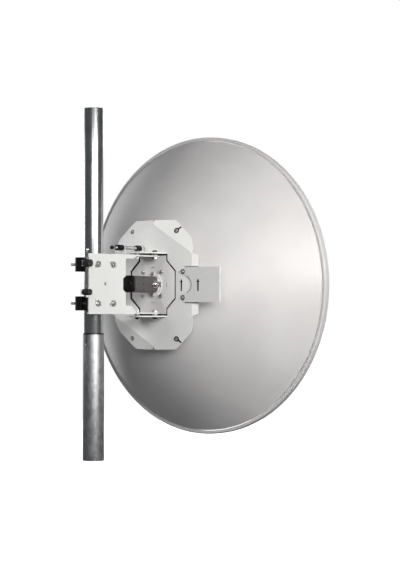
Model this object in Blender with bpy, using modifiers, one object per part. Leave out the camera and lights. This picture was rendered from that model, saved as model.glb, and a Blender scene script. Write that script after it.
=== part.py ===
"""A parabolic dish antenna on its pole mount, built as separate named pieces.

Frame: +Y is the dish's aim, +Z is up, +X is the side of the tall bracket plate.
All lengths are metres. Places are measured from the mast's axis, and one parent
puts that axis where the origin lies on the end ring of the mast.
"""
import math

import bmesh
import bpy
from mathutils import Matrix, Vector

# Mast
MAST_HEIGHT = 1.085
UPPER_RADIUS = 0.03015
UPPER_WALL = 0.0029
UPPER_FOOT = 0.236
SLEEVE_RADIUS = 0.033
SLEEVE_HEIGHT = 0.388
PIN_HOLE_HEIGHT = 0.358
PIN_HOLE_RADIUS = 0.0045

# Fits
GAP = 0.0003
HOLE_FIT = 0.0003
RUNNING = 0.0052
OVERLAP = 0.0005

SLEEVE_BORE = UPPER_RADIUS + GAP
MAST_Y = 0.5 * (SLEEVE_RADIUS + SLEEVE_BORE)

# Mount centre and clamp
CENTRE_Z = 0.543
JAW_Z = 0.0598
JAW_HALF_HEIGHT = 0.0218
JAW_OUT = 0.043
JAW_IN = 0.008
JAW_HALF_WIDTH = 0.0475
JAW_CORNER = 0.018
FRONT_JAW_CORNER = 0.004
FRONT_JAW_FACE = 0.040
CLAMP_BOLT_Y = 0.0352
CLAMP_BOLT_RADIUS = 0.004
CLAMP_WASHER_RADIUS = 0.0100
CLAMP_WASHER_THICK = 0.0020
CLAMP_HEX_RADIUS = 0.0080
CLAMP_HEAD_TOP = 0.0085
CLAMP_PLATE_THICK = 0.004
CLAMP_PLATE_Y = 0.054
CLAMP_PLATE_Z = 0.075
CLAMP_PLATE_CUT = 0.012
STUD_END = -0.060
PIVOT_RADIUS = 0.0055
PIVOT_FLANGE_RADIUS = 0.0085

CLAMP_PLATE_BACK = FRONT_JAW_FACE + GAP
CLAMP_PLATE_FRONT = CLAMP_PLATE_BACK + CLAMP_PLATE_THICK

# Bracket that tilts
WEB_THICK = 0.004
WEB_LOW = CLAMP_PLATE_FRONT + GAP
WEB_FACE = WEB_LOW + WEB_THICK
WEB_BACK = -0.075
WEB_ARM_END = 0.128
WEB_FOOT_END = 0.146
WEB_ARM_CUT = 0.0745
WEB_FOOT_CUT = 0.0845
WEB_HALF_HEIGHT = 0.0923
FLANGE_THICK = 0.004
FLANGE_EDGE = WEB_HALF_HEIGHT - 0.0001
WINDOW_Y = 0.096
WINDOW_LOW = -0.067
WINDOW_HIGH = 0.080
NOTCH_Y = 0.0836
NOTCH_MOUTH = 0.0255
NOTCH_FLOOR = 0.0180
WINDOW_CORNER = 0.006
LIP_X = 0.0408
WIDE_FLANGE_Y = 0.070
FLANGE_FAR_X = -0.045
FLANGE_NOSE = 0.014
ELEVATION_SWING = math.radians(10.0) + 0.01
SLOT_HALF_WIDTH = 0.0047
PIVOT_HOLE_RADIUS = 0.0058

# Screw that tilts the bracket
SCREW_X = 0.0575
SCREW_Y = -0.0946
UPPER_BARREL_Z = 0.062
LOWER_BARREL_Z = -0.0255
UPPER_BARREL_RADIUS = 0.0115
LOWER_BARREL_RADIUS = 0.0095
LOWER_BARREL_END = 0.0726
UPPER_BARREL_END = 0.0735
BARREL_STUB_RADIUS = 0.004
UPPER_TAIL_HALF = 0.0095
LOWER_TAIL_HALF = 0.0085
ELEVATION_ROD_RADIUS = 0.004
ELEVATION_ROD_TOP = 0.105
SMALL_NUT_RADIUS = 0.0068
SMALL_NUT_LONG = 0.005
TAIL_PAST_SCREW = 0.0075

# Turning joint of the dish
TURN_X = 0.023
TURN_Y = 0.267
LOCK_Y = 0.180
EAR_LOW = 0.0985
EAR_THICK = 0.004
EAR_BACK = 0.160
EAR_STEP_Y = 0.216
EAR_STEP_X = -0.002
EAR_HALF_WIDTH = 0.0565
TURN_BOLT_RADIUS = 0.005
LOCK_BOLT_RADIUS = 0.004
AZIMUTH_SWING = math.radians(10.0) + 0.01

# Screw that turns the dish
TURN_SCREW_X = -0.032
TURN_SCREW_Z = 0.1165
TURN_ROD_RADIUS = 0.005
BRACKET_LUG_Y = 0.176
DISH_LUG_Y = 0.263
LUG_THICK = 0.003
LUG_HALF_WIDTH = 0.0095
LUG_TOP = 0.126
DISH_LUG_HOLE = 0.0075
TURN_NUT_RADIUS = 0.0094
DISH_LUG_PLAY = 0.0020
TURN_ROD_END = 0.2780
TURN_ROD_NECK = 0.0035
TURN_NECK_END = 0.1370
BALL_Y = 0.1230
BALL_RADIUS = 0.0066
ADJUSTING_NUT_LONG = 0.030
INNER_NUT_LONG = 0.022
COUNTER_NUT_LONG = 0.007
END_NUT_LONG = 0.006

# Plate on the back of the dish
PLATE_Y = 0.284
PLATE_THICK = 0.003
PLATE_FRONT = PLATE_Y + PLATE_THICK
FLAP_SLOPE = 0.30
HEX_TOP = 0.195
HEX_SIDE_X = 0.160
HEX_SIDE_Z = 0.100
OPENING_WIDE = 0.095
OPENING_NARROW = 0.0605
OPENING_TOP = 0.0995
HUB_RADIUS = 0.145
HUB_THICK = 0.003
HUB_BACK = PLATE_FRONT + GAP
HUB_FRONT = HUB_BACK + HUB_THICK
HUB_RING_INNER = 0.085
HUB_RING_OUTER = 0.100
STANDOFF_X = 0.092
STANDOFF_Z = 0.172
STANDOFF_RADIUS = 0.006
STANDOFF_BOLT_HOLE = 0.0033

# Radio plate
RADIO_FRONT = PLATE_Y - GAP
RADIO_THICK = 0.003
RADIO_BACK = RADIO_FRONT - RADIO_THICK
RADIO_LEFT = 0.134
RADIO_RIGHT = 0.273
RADIO_HALF_HEIGHT = 0.0555
RADIO_NOTCH_RADIUS = 0.0276
RADIO_LIP = 0.008
RADIO_LIP_START = 0.190
RADIO_EAR_X = 0.1265
RADIO_EAR_Z = 0.041
RADIO_EAR_RADIUS = 0.008
RADIO_HOLE_X = 0.224
RADIO_HOLE_Z = 0.036
SMALL_HOLE_RADIUS = 0.0028

# Reflector
VERTEX_Y = 0.2925
FOUR_F = 0.9661
DISH_RADIUS = 0.4777
FEED_HOLE_RADIUS = 0.024
SHEET = 0.002
RIM_RADIUS = 0.490
RIM_INNER = 0.478
RIM_BACK = 0.529
RIM_FRONT = 0.569
RIM_LIP = 0.010
RIM_CORNER = 0.0025
FOCUS_Y = VERTEX_Y + 0.25 * FOUR_F

# Feed
FLANGE_RADIUS = 0.0405
FLANGE_BACK = 0.2792
HOUSING_HALF_WIDTH = 0.0255
HOUSING_HALF_HEIGHT = 0.0250
HOUSING_CUT = 0.0065
HOUSING_BACK = 0.1708
CAP_HALF_WIDTH = 0.0235
CAP_HALF_HEIGHT = 0.0260
CAP_CUT = 0.0080
CAP_BACK = 0.1655
CONNECTOR_Y = 0.252
CONNECTOR_DROP = 0.001
FEED_TUBE_RADIUS = 0.018
FEED_TUBE_END = FOCUS_Y - 0.020

ROUND = 36
SMALL_ROUND = 12
DISH_ROUND = 72

MAST = "mast_axis"
BRACKET = "bracket_axis"
DISH = "dish_axis"
ELEVATION_ROD = "elevation_rod_axis"
ELEVATION_NUT = "elevation_nut_axis"
TURN_ROD = "azimuth_rod_axis"

ORIGINS = {
    MAST: (0.0, 0.0, 0.0),
    BRACKET: (0.0, 0.0, CENTRE_Z),
    DISH: (TURN_X, TURN_Y, CENTRE_Z),
    ELEVATION_ROD: (SCREW_X, SCREW_Y, CENTRE_Z + LOWER_BARREL_Z),
    ELEVATION_NUT: (SCREW_X, SCREW_Y, CENTRE_Z + UPPER_BARREL_Z),
    TURN_ROD: (TURN_SCREW_X, BRACKET_LUG_Y, CENTRE_Z + TURN_SCREW_Z),
}
PARENTS = {
    BRACKET: MAST,
    DISH: BRACKET,
    ELEVATION_ROD: MAST,
    ELEVATION_NUT: BRACKET,
    TURN_ROD: BRACKET,
}

# Turns that lay a flat outline, or a turned piece's axis, along X, Y or Z
OUTLINE_TURNS = {
    "X": Matrix(((0, 0, 1), (1, 0, 0), (0, 1, 0))),
    "Y": Matrix(((1, 0, 0), (0, 0, -1), (0, 1, 0))),
    "Z": Matrix(((1, 0, 0), (0, 1, 0), (0, 0, 1))),
}
LATHE_TURNS = {
    "X": Matrix(((0, 0, 1), (1, 0, 0), (0, 1, 0))),
    "Y": Matrix(((-1, 0, 0), (0, 0, 1), (0, 1, 0))),
    "Z": Matrix(((1, 0, 0), (0, 1, 0), (0, 0, 1))),
}


def clear_scene():
    """Removes every object that a new file starts with."""
    for item in list(bpy.data.objects):
        bpy.data.objects.remove(item)


def make_collection(name):
    """Adds one collection under the scene's own."""
    group = bpy.data.collections.new(name)
    bpy.context.scene.collection.children.link(group)
    return group


def z(height):
    """Height above the foot of a height above the mount's centre."""
    return CENTRE_Z + height


def place(across, up, along, axis):
    """Turns two cross coordinates and one along the axis into X, Y, Z."""
    if axis == "X":
        return Vector((along, across, up))
    if axis == "Y":
        return Vector((across, along, up))
    return Vector((across, up, along))


def arc(centre, radius, start, end, steps=6):
    """Points along an arc between two angles in degrees."""
    points = []
    for index in range(steps + 1):
        angle = math.radians(start + (end - start) * index / steps)
        across = centre[0] + radius * math.cos(angle)
        up = centre[1] + radius * math.sin(angle)
        points.append((across, up))
    return points


def ring(centre, radius, count=SMALL_ROUND):
    """Points all the way round a circle."""
    return arc(centre, radius, 0.0, 360.0 * (count - 1) / count, count - 1)


def arc_slot(centre, point, half_angle, half_width, steps=6):
    """A round-ended slot that follows a circle about the centre."""
    reach = math.hypot(point[0] - centre[0], point[1] - centre[1])
    middle = math.degrees(math.atan2(point[1] - centre[1], point[0] - centre[0]))
    low = middle - math.degrees(half_angle)
    high = middle + math.degrees(half_angle)
    first = arc(centre, reach, high, high, 1)[0]
    last = arc(centre, reach, low, low, 1)[0]
    outline = arc(centre, reach + half_width, low, high, steps)
    outline.extend(arc(first, half_width, high, high + 180.0, 4)[1:-1])
    outline.extend(arc(centre, reach - half_width, high, low, steps))
    outline.extend(arc(last, half_width, low + 180.0, low + 360.0, 4)[1:-1])
    return outline


def rounded_box(low, high, radius, steps=4):
    """A rectangle with round corners."""
    outline = arc((high[0] - radius, high[1] - radius), radius, 0, 90, steps)
    outline.extend(arc((low[0] + radius, high[1] - radius), radius, 90, 180, steps))
    outline.extend(arc((low[0] + radius, low[1] + radius), radius, 180, 270, steps))
    outline.extend(arc((high[0] - radius, low[1] + radius), radius, 270, 360, steps))
    return outline


def raised(points):
    """Moves an outline's heights from the mount's centre to the foot."""
    return [(across, z(up)) for across, up in points]


def make_material(name, colour, metallic, roughness):
    """A plain surface with one colour."""
    material = bpy.data.materials.new(name)
    material.use_nodes = True
    shader = material.node_tree.nodes["Principled BSDF"]
    shader.inputs["Base Color"].default_value = (colour[0], colour[1], colour[2], 1.0)
    shader.inputs["Metallic"].default_value = metallic
    shader.inputs["Roughness"].default_value = roughness
    return material


def flat_mesh(name, outlines, thickness):
    """A plate whose first outline is its edge and whose others are its holes."""
    curve = bpy.data.curves.new(name, "CURVE")
    curve.dimensions = "2D"
    curve.fill_mode = "BOTH"
    curve.extrude = 0.5 * thickness
    for outline in outlines:
        spline = curve.splines.new("POLY")
        spline.points.add(len(outline) - 1)
        for point, spot in zip(spline.points, outline):
            point.co = (spot[0], spot[1], 0.0, 1.0)
        spline.use_cyclic_u = True
    holder = bpy.data.objects.new(name, curve)
    bpy.context.scene.collection.objects.link(holder)
    graph = bpy.context.evaluated_depsgraph_get()
    mesh = bpy.data.meshes.new_from_object(holder.evaluated_get(graph))
    bpy.data.objects.remove(holder)
    bpy.data.curves.remove(curve)
    tidy(mesh)
    return mesh


def tidy(mesh):
    """Welds the loose caps and makes the faces point outwards."""
    work = bmesh.new()
    work.from_mesh(mesh)
    bmesh.ops.remove_doubles(work, verts=work.verts, dist=0.00001)
    bmesh.ops.recalc_face_normals(work, faces=work.faces)
    work.to_mesh(mesh)
    work.free()


def bars_mesh(name, bars, start):
    """Round or hexagonal bars in one mesh, measured from the start point."""
    work = bmesh.new()
    for axis, centre, radius, low, high, sides in bars:
        middle = place(centre[0], centre[1], 0.5 * (low + high), axis) - Vector(start)
        turn = LATHE_TURNS[axis].to_4x4()
        bmesh.ops.create_cone(work, cap_ends=True, segments=sides, radius1=radius,
                              radius2=radius, depth=high - low,
                              matrix=Matrix.Translation(middle) @ turn)
    mesh = bpy.data.meshes.new(name)
    work.to_mesh(mesh)
    work.free()
    return mesh


class Builder:
    """Adds pieces and helpers, and keeps the parents they hang from."""

    def __init__(self):
        self.parts = make_collection("parabolic_dish_antenna")
        self.helpers = make_collection("cutters")
        self.surfaces = {}
        self.parents = {}

    def add_parents(self):
        """One empty on each joint's axis."""
        for name, origin in ORIGINS.items():
            empty = bpy.data.objects.new(name, None)
            empty.empty_display_size = 0.05
            above = PARENTS.get(name)
            if above is None:
                empty.location = (origin[0], origin[1] + MAST_Y, origin[2])
            else:
                empty.location = Vector(origin) - Vector(ORIGINS[above])
                empty.parent = self.parents[above]
            self.parts.objects.link(empty)
            self.parents[name] = empty

    def finish(self, item, parent, spot, turn, colour):
        """Parents an object, places it, and files it as a piece or a helper."""
        item.parent = self.parents[parent]
        item.location = Vector(spot) - Vector(ORIGINS[parent])
        item.rotation_euler = turn.to_euler()
        if colour is None:
            item.display_type = "WIRE"
            item.hide_render = True
            self.helpers.objects.link(item)
            return item
        surface = make_material(item.name, *self.surfaces[colour])
        item.data.materials.clear()
        item.data.materials.append(surface)
        self.parts.objects.link(item)
        return item

    def plate(self, name, parent, axis, low, high, outlines, colour=None):
        """A flat plate of the outline between two places on the axis."""
        mesh = flat_mesh(name, outlines, high - low)
        item = bpy.data.objects.new(name, mesh)
        spot = place(0.0, 0.0, 0.5 * (low + high), axis)
        return self.finish(item, parent, spot, OUTLINE_TURNS[axis], colour)

    def turned(self, name, parent, axis, centre, profile, colour=None, steps=SMALL_ROUND,
               closed=False):
        """A turned piece from (place on the axis, radius) points, lowest first."""
        base = profile[0][0]
        points = [(radius, 0.0, along - base) for along, radius in reversed(profile)]
        edges = [(index, index + 1) for index in range(len(points) - 1)]
        if closed:
            edges.append((len(points) - 1, 0))
        mesh = bpy.data.meshes.new(name)
        mesh.from_pydata(points, edges, [])
        item = bpy.data.objects.new(name, mesh)
        spin = item.modifiers.new("Screw", "SCREW")
        spin.steps = steps
        spin.render_steps = steps
        spin.use_merge_vertices = True
        spin.merge_threshold = 0.00001
        spin.use_smooth_shade = True
        spot = place(centre[0], centre[1], base, axis)
        return self.finish(item, parent, spot, LATHE_TURNS[axis], colour)

    def bars(self, name, parent, bars, colour=None):
        """Straight bars in one mesh, for cutters, bolt heads and plain pieces."""
        mesh = bars_mesh(name, bars, ORIGINS[parent])
        item = bpy.data.objects.new(name, mesh)
        return self.finish(item, parent, ORIGINS[parent], Matrix.Identity(3), colour)

    def combine(self, item, other, operation):
        """Adds one exact Boolean to a piece."""
        step = item.modifiers.new(other.name, "BOOLEAN")
        step.operation = operation
        step.solver = "EXACT"
        step.object = other


def solid_profile(steps):
    """A profile that starts and ends on the axis."""
    return [(steps[0][0], 0.0)] + steps + [(steps[-1][0], 0.0)]


def tube_profile(low, high, radius, bore):
    """The wall of a tube, its outer side first."""
    return [(low, bore), (low, radius), (high, radius), (high, bore)]


def build_mast(make):
    """The two tubes of the mast."""
    wall = tube_profile(0.0, SLEEVE_HEIGHT, SLEEVE_RADIUS, SLEEVE_BORE)
    sleeve = make.turned("mast_lower_tube", MAST, "Z", (0.0, 0.0), wall, "galvanised", ROUND, True)
    bar = ("Y", (0.0, PIN_HOLE_HEIGHT), PIN_HOLE_RADIUS, -0.040, -SLEEVE_BORE + GAP, 24)
    make.combine(sleeve, make.bars("cut_pin_hole", MAST, [bar]), "DIFFERENCE")
    wall = tube_profile(UPPER_FOOT, MAST_HEIGHT, UPPER_RADIUS, UPPER_RADIUS - UPPER_WALL)
    make.turned("mast_upper_tube", MAST, "Z", (0.0, 0.0), wall, "galvanised", ROUND, True)


def bolt_places():
    """Side and height of each clamp bolt."""
    places = []
    for up in (-1, 1):
        for side in (-1, 1):
            places.append((side * CLAMP_BOLT_Y, z(up * JAW_Z)))
    return places


def back_jaw_outline():
    """The back jaw seen from above, with its two large round corners."""
    mid_x = -JAW_OUT + JAW_CORNER
    mid_y = JAW_HALF_WIDTH - JAW_CORNER
    outline = [(-JAW_IN, JAW_HALF_WIDTH)]
    outline.extend(arc((mid_x, mid_y), JAW_CORNER, 90, 180))
    outline.extend(arc((mid_x, -mid_y), JAW_CORNER, 180, 270))
    outline.append((-JAW_IN, -JAW_HALF_WIDTH))
    return outline


def build_jaws(make):
    """Two pairs of cast jaws that grip the mast."""
    bars = [("Z", (0.0, 0.0), SLEEVE_BORE, z(-0.1), z(0.1), ROUND)]
    for centre in bolt_places():
        bars.append(("X", centre, CLAMP_BOLT_RADIUS + HOLE_FIT, -0.07, 0.07, SMALL_ROUND))
    cutter = make.bars("cut_jaws", MAST, bars)
    front = rounded_box((JAW_IN, -JAW_HALF_WIDTH), (FRONT_JAW_FACE, JAW_HALF_WIDTH),
                        FRONT_JAW_CORNER)
    for label, up in (("lower", -1), ("upper", 1)):
        for side, outline in (("back", back_jaw_outline()), ("front", front)):
            middle = z(up * JAW_Z)
            jaw = make.plate("jaw_" + side + "_" + label, MAST, "Z", middle - JAW_HALF_HEIGHT,
                             middle + JAW_HALF_HEIGHT, [outline], "black_casting")
            make.combine(jaw, cutter, "DIFFERENCE")


def clamp_plate_outline():
    """The fixed plate with its tail for the lower screw barrel, seen along X."""
    cut = CLAMP_PLATE_CUT
    wide = CLAMP_PLATE_Y
    tall = CLAMP_PLATE_Z
    tail = SCREW_Y - LOWER_TAIL_HALF
    high = LOWER_BARREL_Z + LOWER_TAIL_HALF
    low = LOWER_BARREL_Z - LOWER_TAIL_HALF
    return [(wide, -tall + cut), (wide, tall - cut), (wide - cut, tall), (-wide + cut, tall),
            (-wide, tall - cut), (-wide, high + cut), (-wide - cut, high), (tail, high),
            (tail, low), (-wide - cut, low), (-wide, low - cut), (-wide, -tall + cut),
            (-wide + cut, -tall), (wide - cut, -tall)]


def build_clamp_plate(make):
    """The plate that the jaws are bolted to, and the pin that the bracket tilts on."""
    outlines = [raised(clamp_plate_outline())]
    outlines.append(ring((0.0, z(0.0)), PIVOT_RADIUS + HOLE_FIT))
    outlines.append(ring((SCREW_Y, z(LOWER_BARREL_Z)), BARREL_STUB_RADIUS + HOLE_FIT))
    for centre in bolt_places():
        outlines.append(ring(centre, CLAMP_BOLT_RADIUS + HOLE_FIT))
    make.plate("clamp_plate", MAST, "X", CLAMP_PLATE_BACK, CLAMP_PLATE_FRONT, outlines,
               "white_paint")
    back = CLAMP_PLATE_BACK - GAP
    face = WEB_FACE - 0.0015
    steps = [(back - 0.0077, PIVOT_FLANGE_RADIUS), (back, PIVOT_FLANGE_RADIUS),
             (back, PIVOT_RADIUS), (face, PIVOT_RADIUS), (face, 0.0030),
             (face - 0.0025, 0.0030)]
    make.turned("elevation_pivot", MAST, "X", (0.0, z(0.0)), solid_profile(steps), "steel")


def build_clamp_bolts(make):
    """Four bolts that screw into the back jaws, each with head, washer and shank in one piece."""
    face = WEB_FACE + GAP
    outside = face + CLAMP_WASHER_THICK
    number = 0
    for centre in bolt_places():
        number += 1
        steps = [(STUD_END, CLAMP_BOLT_RADIUS), (face, CLAMP_BOLT_RADIUS),
                 (face, CLAMP_WASHER_RADIUS), (outside, CLAMP_WASHER_RADIUS)]
        name = "clamp_bolt_" + str(number)
        bolt = make.turned(name, MAST, "X", centre, solid_profile(steps), "steel")
        head = [("X", centre, CLAMP_HEX_RADIUS, outside - OVERLAP, face + CLAMP_HEAD_TOP, 6)]
        make.combine(bolt, make.bars("add_head_" + str(number), MAST, head), "UNION")


def web_outline():
    """The bracket's upright plate with its open window and the tail for the screw."""
    tall = WEB_HALF_HEIGHT
    soft = WINDOW_CORNER
    tail = SCREW_Y - TAIL_PAST_SCREW
    high = UPPER_BARREL_Z + UPPER_TAIL_HALF
    low = UPPER_BARREL_Z - UPPER_TAIL_HALF
    outline = [(WEB_BACK, -tall), (WEB_FOOT_END, -tall), (WEB_FOOT_END, -WEB_FOOT_CUT),
               (WEB_ARM_END, -WEB_ARM_CUT), (WEB_ARM_END, WINDOW_LOW)]
    outline.extend(arc((WINDOW_Y + soft, WINDOW_LOW + soft), soft, 270, 180, 4))
    outline.extend([(WINDOW_Y, -NOTCH_MOUTH), (NOTCH_Y, -NOTCH_FLOOR), (NOTCH_Y, NOTCH_FLOOR),
                    (WINDOW_Y, NOTCH_MOUTH)])
    outline.extend(arc((WINDOW_Y + soft, WINDOW_HIGH - soft), soft, 180, 90, 4))
    outline.extend([(WEB_ARM_END, WINDOW_HIGH), (WEB_FOOT_END, WEB_FOOT_CUT),
                    (WEB_FOOT_END, tall), (WEB_BACK, tall), (WEB_BACK, high), (tail, high),
                    (tail, low), (WEB_BACK, low)])
    return outline


def flange_outline():
    """The bracket's flange seen from above, with its round nose at the turning bolt."""
    outer = WEB_FACE - 0.0001
    outline = [(LIP_X, WEB_BACK), (outer, WEB_BACK), (outer, 0.200)]
    outline.extend(arc((TURN_X, TURN_Y), FLANGE_NOSE, 0, 180, 8))
    outline.extend([(-0.014, 0.212), (FLANGE_FAR_X + 0.006, 0.206), (FLANGE_FAR_X, 0.200),
                    (FLANGE_FAR_X, WIDE_FLANGE_Y), (LIP_X, WIDE_FLANGE_Y)])
    return outline


def lug_outline(base):
    """An upright screw lug with a round top, seen along the aim."""
    top = LUG_TOP - LUG_HALF_WIDTH
    outline = [(TURN_SCREW_X - LUG_HALF_WIDTH, z(base)), (TURN_SCREW_X + LUG_HALF_WIDTH, z(base))]
    outline.extend(arc((TURN_SCREW_X, z(top)), LUG_HALF_WIDTH, 0, 180, 8))
    return outline


def build_bracket(make):
    """The folded bracket that tilts: upright plate, two flanges and one screw lug."""
    outlines = [raised(web_outline())]
    outlines.append(ring((0.0, z(0.0)), PIVOT_HOLE_RADIUS))
    outlines.append(ring((SCREW_Y, z(UPPER_BARREL_Z)), BARREL_STUB_RADIUS + HOLE_FIT))
    for up in (-1, 1):
        for side in (-1, 1):
            slot = arc_slot((0.0, 0.0), (side * CLAMP_BOLT_Y, up * JAW_Z), ELEVATION_SWING,
                            SLOT_HALF_WIDTH)
            outlines.append(raised(slot))
    web = make.plate("web_bracket", BRACKET, "X", WEB_LOW, WEB_FACE, outlines, "white_paint")
    holes = [ring((TURN_X, TURN_Y), TURN_BOLT_RADIUS + HOLE_FIT),
             ring((TURN_X, LOCK_Y), LOCK_BOLT_RADIUS + HOLE_FIT)]
    for label, low in (("lower", -FLANGE_EDGE), ("upper", FLANGE_EDGE - FLANGE_THICK)):
        flange = make.plate("add_flange_" + label, BRACKET, "Z", z(low), z(low + FLANGE_THICK),
                            [flange_outline()] + holes)
        make.combine(web, flange, "UNION")
    hole = ring((TURN_SCREW_X, z(TURN_SCREW_Z)), TURN_ROD_RADIUS + HOLE_FIT)
    lug = make.plate("add_bracket_lug", BRACKET, "Y", BRACKET_LUG_Y - 0.5 * LUG_THICK,
                     BRACKET_LUG_Y + 0.5 * LUG_THICK, [lug_outline(FLANGE_EDGE - 0.002), hole])
    make.combine(web, lug, "UNION")


def joint_bolt(make, name, radius, y, sign):
    """A bolt through flange and ear, with a spacing collar between them."""
    centre = (TURN_X, y)
    under = FLANGE_EDGE - FLANGE_THICK - GAP
    above = EAR_LOW + EAR_THICK + GAP
    collar = radius + 0.004
    steps = [(under - OVERLAP, radius), (FLANGE_EDGE + GAP, radius), (FLANGE_EDGE + GAP, collar),
             (EAR_LOW - GAP, collar), (EAR_LOW - GAP, radius), (above, radius),
             (above, collar), (above + 0.0020, collar)]
    profile = [(z(sign * height), reach) for height, reach in steps]
    if sign < 0:
        profile.reverse()
    bolt = make.turned(name, BRACKET, "Z", centre, solid_profile(profile), "steel")
    spans = [(under - 0.0065, under), (above + 0.0020 - OVERLAP, above + 0.0070)]
    bars = []
    for low, high in spans:
        ends = sorted((z(sign * low), z(sign * high)))
        bars.append(("Z", centre, 1.85 * radius, ends[0], ends[1], 6))
    make.combine(bolt, make.bars("add_hex_" + name, BRACKET, bars), "UNION")


def build_joint_bolts(make):
    """The turning bolts and the bolts that lock the turn."""
    for label, sign in (("lower", -1), ("upper", 1)):
        joint_bolt(make, "azimuth_pivot_" + label, TURN_BOLT_RADIUS, TURN_Y, sign)
        joint_bolt(make, "azimuth_lock_bolt_" + label, LOCK_BOLT_RADIUS, LOCK_Y, sign)


def hexagon_nut(make, name, parent, axis, centre, reach, bore, low, high, colour):
    """A hexagon nut with a round bore."""
    outlines = [ring(centre, reach, 6), ring(centre, bore)]
    return make.plate(name, parent, axis, low, high, outlines, colour)


def build_elevation_screw(make):
    """The upright screw with a barrel at the clamp plate and a barrel at the bracket."""
    seat = CLAMP_PLATE_FRONT + GAP
    steps = [(CLAMP_PLATE_BACK - 0.0013, BARREL_STUB_RADIUS), (seat, BARREL_STUB_RADIUS),
             (seat, LOWER_BARREL_RADIUS), (LOWER_BARREL_END, LOWER_BARREL_RADIUS)]
    lower = make.turned("elevation_lower_barrel", ELEVATION_ROD, "X",
                        (SCREW_Y, z(LOWER_BARREL_Z)), solid_profile(steps), "dark_steel", 18)
    seat = WEB_FACE + GAP
    steps = [(WEB_LOW - 0.0010, BARREL_STUB_RADIUS), (seat, BARREL_STUB_RADIUS),
             (seat, UPPER_BARREL_RADIUS), (UPPER_BARREL_END, UPPER_BARREL_RADIUS)]
    upper = make.turned("elevation_upper_barrel", ELEVATION_NUT, "X",
                        (SCREW_Y, z(UPPER_BARREL_Z)), solid_profile(steps), "dark_steel", 18)
    centre = (SCREW_X, SCREW_Y)
    bars = [("Z", centre, ELEVATION_ROD_RADIUS + HOLE_FIT, z(LOWER_BARREL_Z - 0.02),
             z(LOWER_BARREL_Z + 0.02), SMALL_ROUND),
            ("Z", centre, RUNNING, z(UPPER_BARREL_Z - 0.02), z(UPPER_BARREL_Z + 0.02),
             SMALL_ROUND)]
    cutter = make.bars("cut_barrels", ELEVATION_ROD, bars)
    make.combine(lower, cutter, "DIFFERENCE")
    make.combine(upper, cutter, "DIFFERENCE")
    build_elevation_rod(make, centre)
    reach = UPPER_BARREL_RADIUS + GAP
    for label, low in (("upper", reach), ("lower", -reach - SMALL_NUT_LONG)):
        hexagon_nut(make, "elevation_nut_" + label, ELEVATION_NUT, "Z", centre,
                    SMALL_NUT_RADIUS, RUNNING, z(UPPER_BARREL_Z + low),
                    z(UPPER_BARREL_Z + low + SMALL_NUT_LONG), "dark_steel")


def build_elevation_rod(make, centre):
    """The threaded rod with a small nut at its top and one under the lower barrel."""
    under = LOWER_BARREL_Z - LOWER_BARREL_RADIUS - GAP
    steps = [(z(under - 0.008), ELEVATION_ROD_RADIUS),
             (z(ELEVATION_ROD_TOP - OVERLAP), ELEVATION_ROD_RADIUS)]
    rod = make.turned("elevation_rod", ELEVATION_ROD, "Z", centre, solid_profile(steps), "zinc")
    bars = [("Z", centre, 0.0068, z(under - 0.005), z(under), 6),
            ("Z", centre, 0.0068, z(ELEVATION_ROD_TOP - 0.004), z(ELEVATION_ROD_TOP), 6)]
    make.combine(rod, make.bars("add_rod_nuts", ELEVATION_ROD, bars), "UNION")


def build_turn_screw(make):
    """The level screw that turns the dish, and the nuts at its two lugs."""
    centre = (TURN_SCREW_X, z(TURN_SCREW_Z))
    steps = [(along, reach) for along, reach in arc((BALL_Y, 0.0), BALL_RADIUS, 150, 30)]
    steps.extend([(TURN_NECK_END, TURN_ROD_NECK), (TURN_NECK_END, TURN_ROD_RADIUS),
                  (TURN_ROD_END, TURN_ROD_RADIUS)])
    make.turned("azimuth_rod", TURN_ROD, "Y", centre, solid_profile(steps), "zinc")
    near = BRACKET_LUG_Y - 0.5 * LUG_THICK - GAP
    far = BRACKET_LUG_Y + 0.5 * LUG_THICK + GAP
    bore = TURN_ROD_RADIUS + HOLE_FIT
    play = 0.5 * LUG_THICK + DISH_LUG_PLAY
    hexagon_nut(make, "azimuth_adjusting_nut", BRACKET, "Y", centre, TURN_NUT_RADIUS, bore,
                near - ADJUSTING_NUT_LONG, near, "black_oxide")
    hexagon_nut(make, "azimuth_counter_nut", BRACKET, "Y", centre, TURN_NUT_RADIUS, bore,
                far, far + COUNTER_NUT_LONG, "zinc")
    hexagon_nut(make, "azimuth_inner_nut", TURN_ROD, "Y", centre, TURN_NUT_RADIUS, bore,
                DISH_LUG_Y - play - INNER_NUT_LONG, DISH_LUG_Y - play, "black_oxide")
    hexagon_nut(make, "azimuth_end_nut", TURN_ROD, "Y", centre, TURN_NUT_RADIUS, bore,
                DISH_LUG_Y + play, DISH_LUG_Y + play + END_NUT_LONG, "zinc")


def flap_rise(point, start, end):
    """How far a flap has risen at a point, by its distance from the fold."""
    along = Vector((end[0] - start[0], end[1] - start[1]))
    away = Vector((point[0] - start[0], point[1] - start[1]))
    return FLAP_SLOPE * abs(away.cross(along)) / along.length


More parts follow.
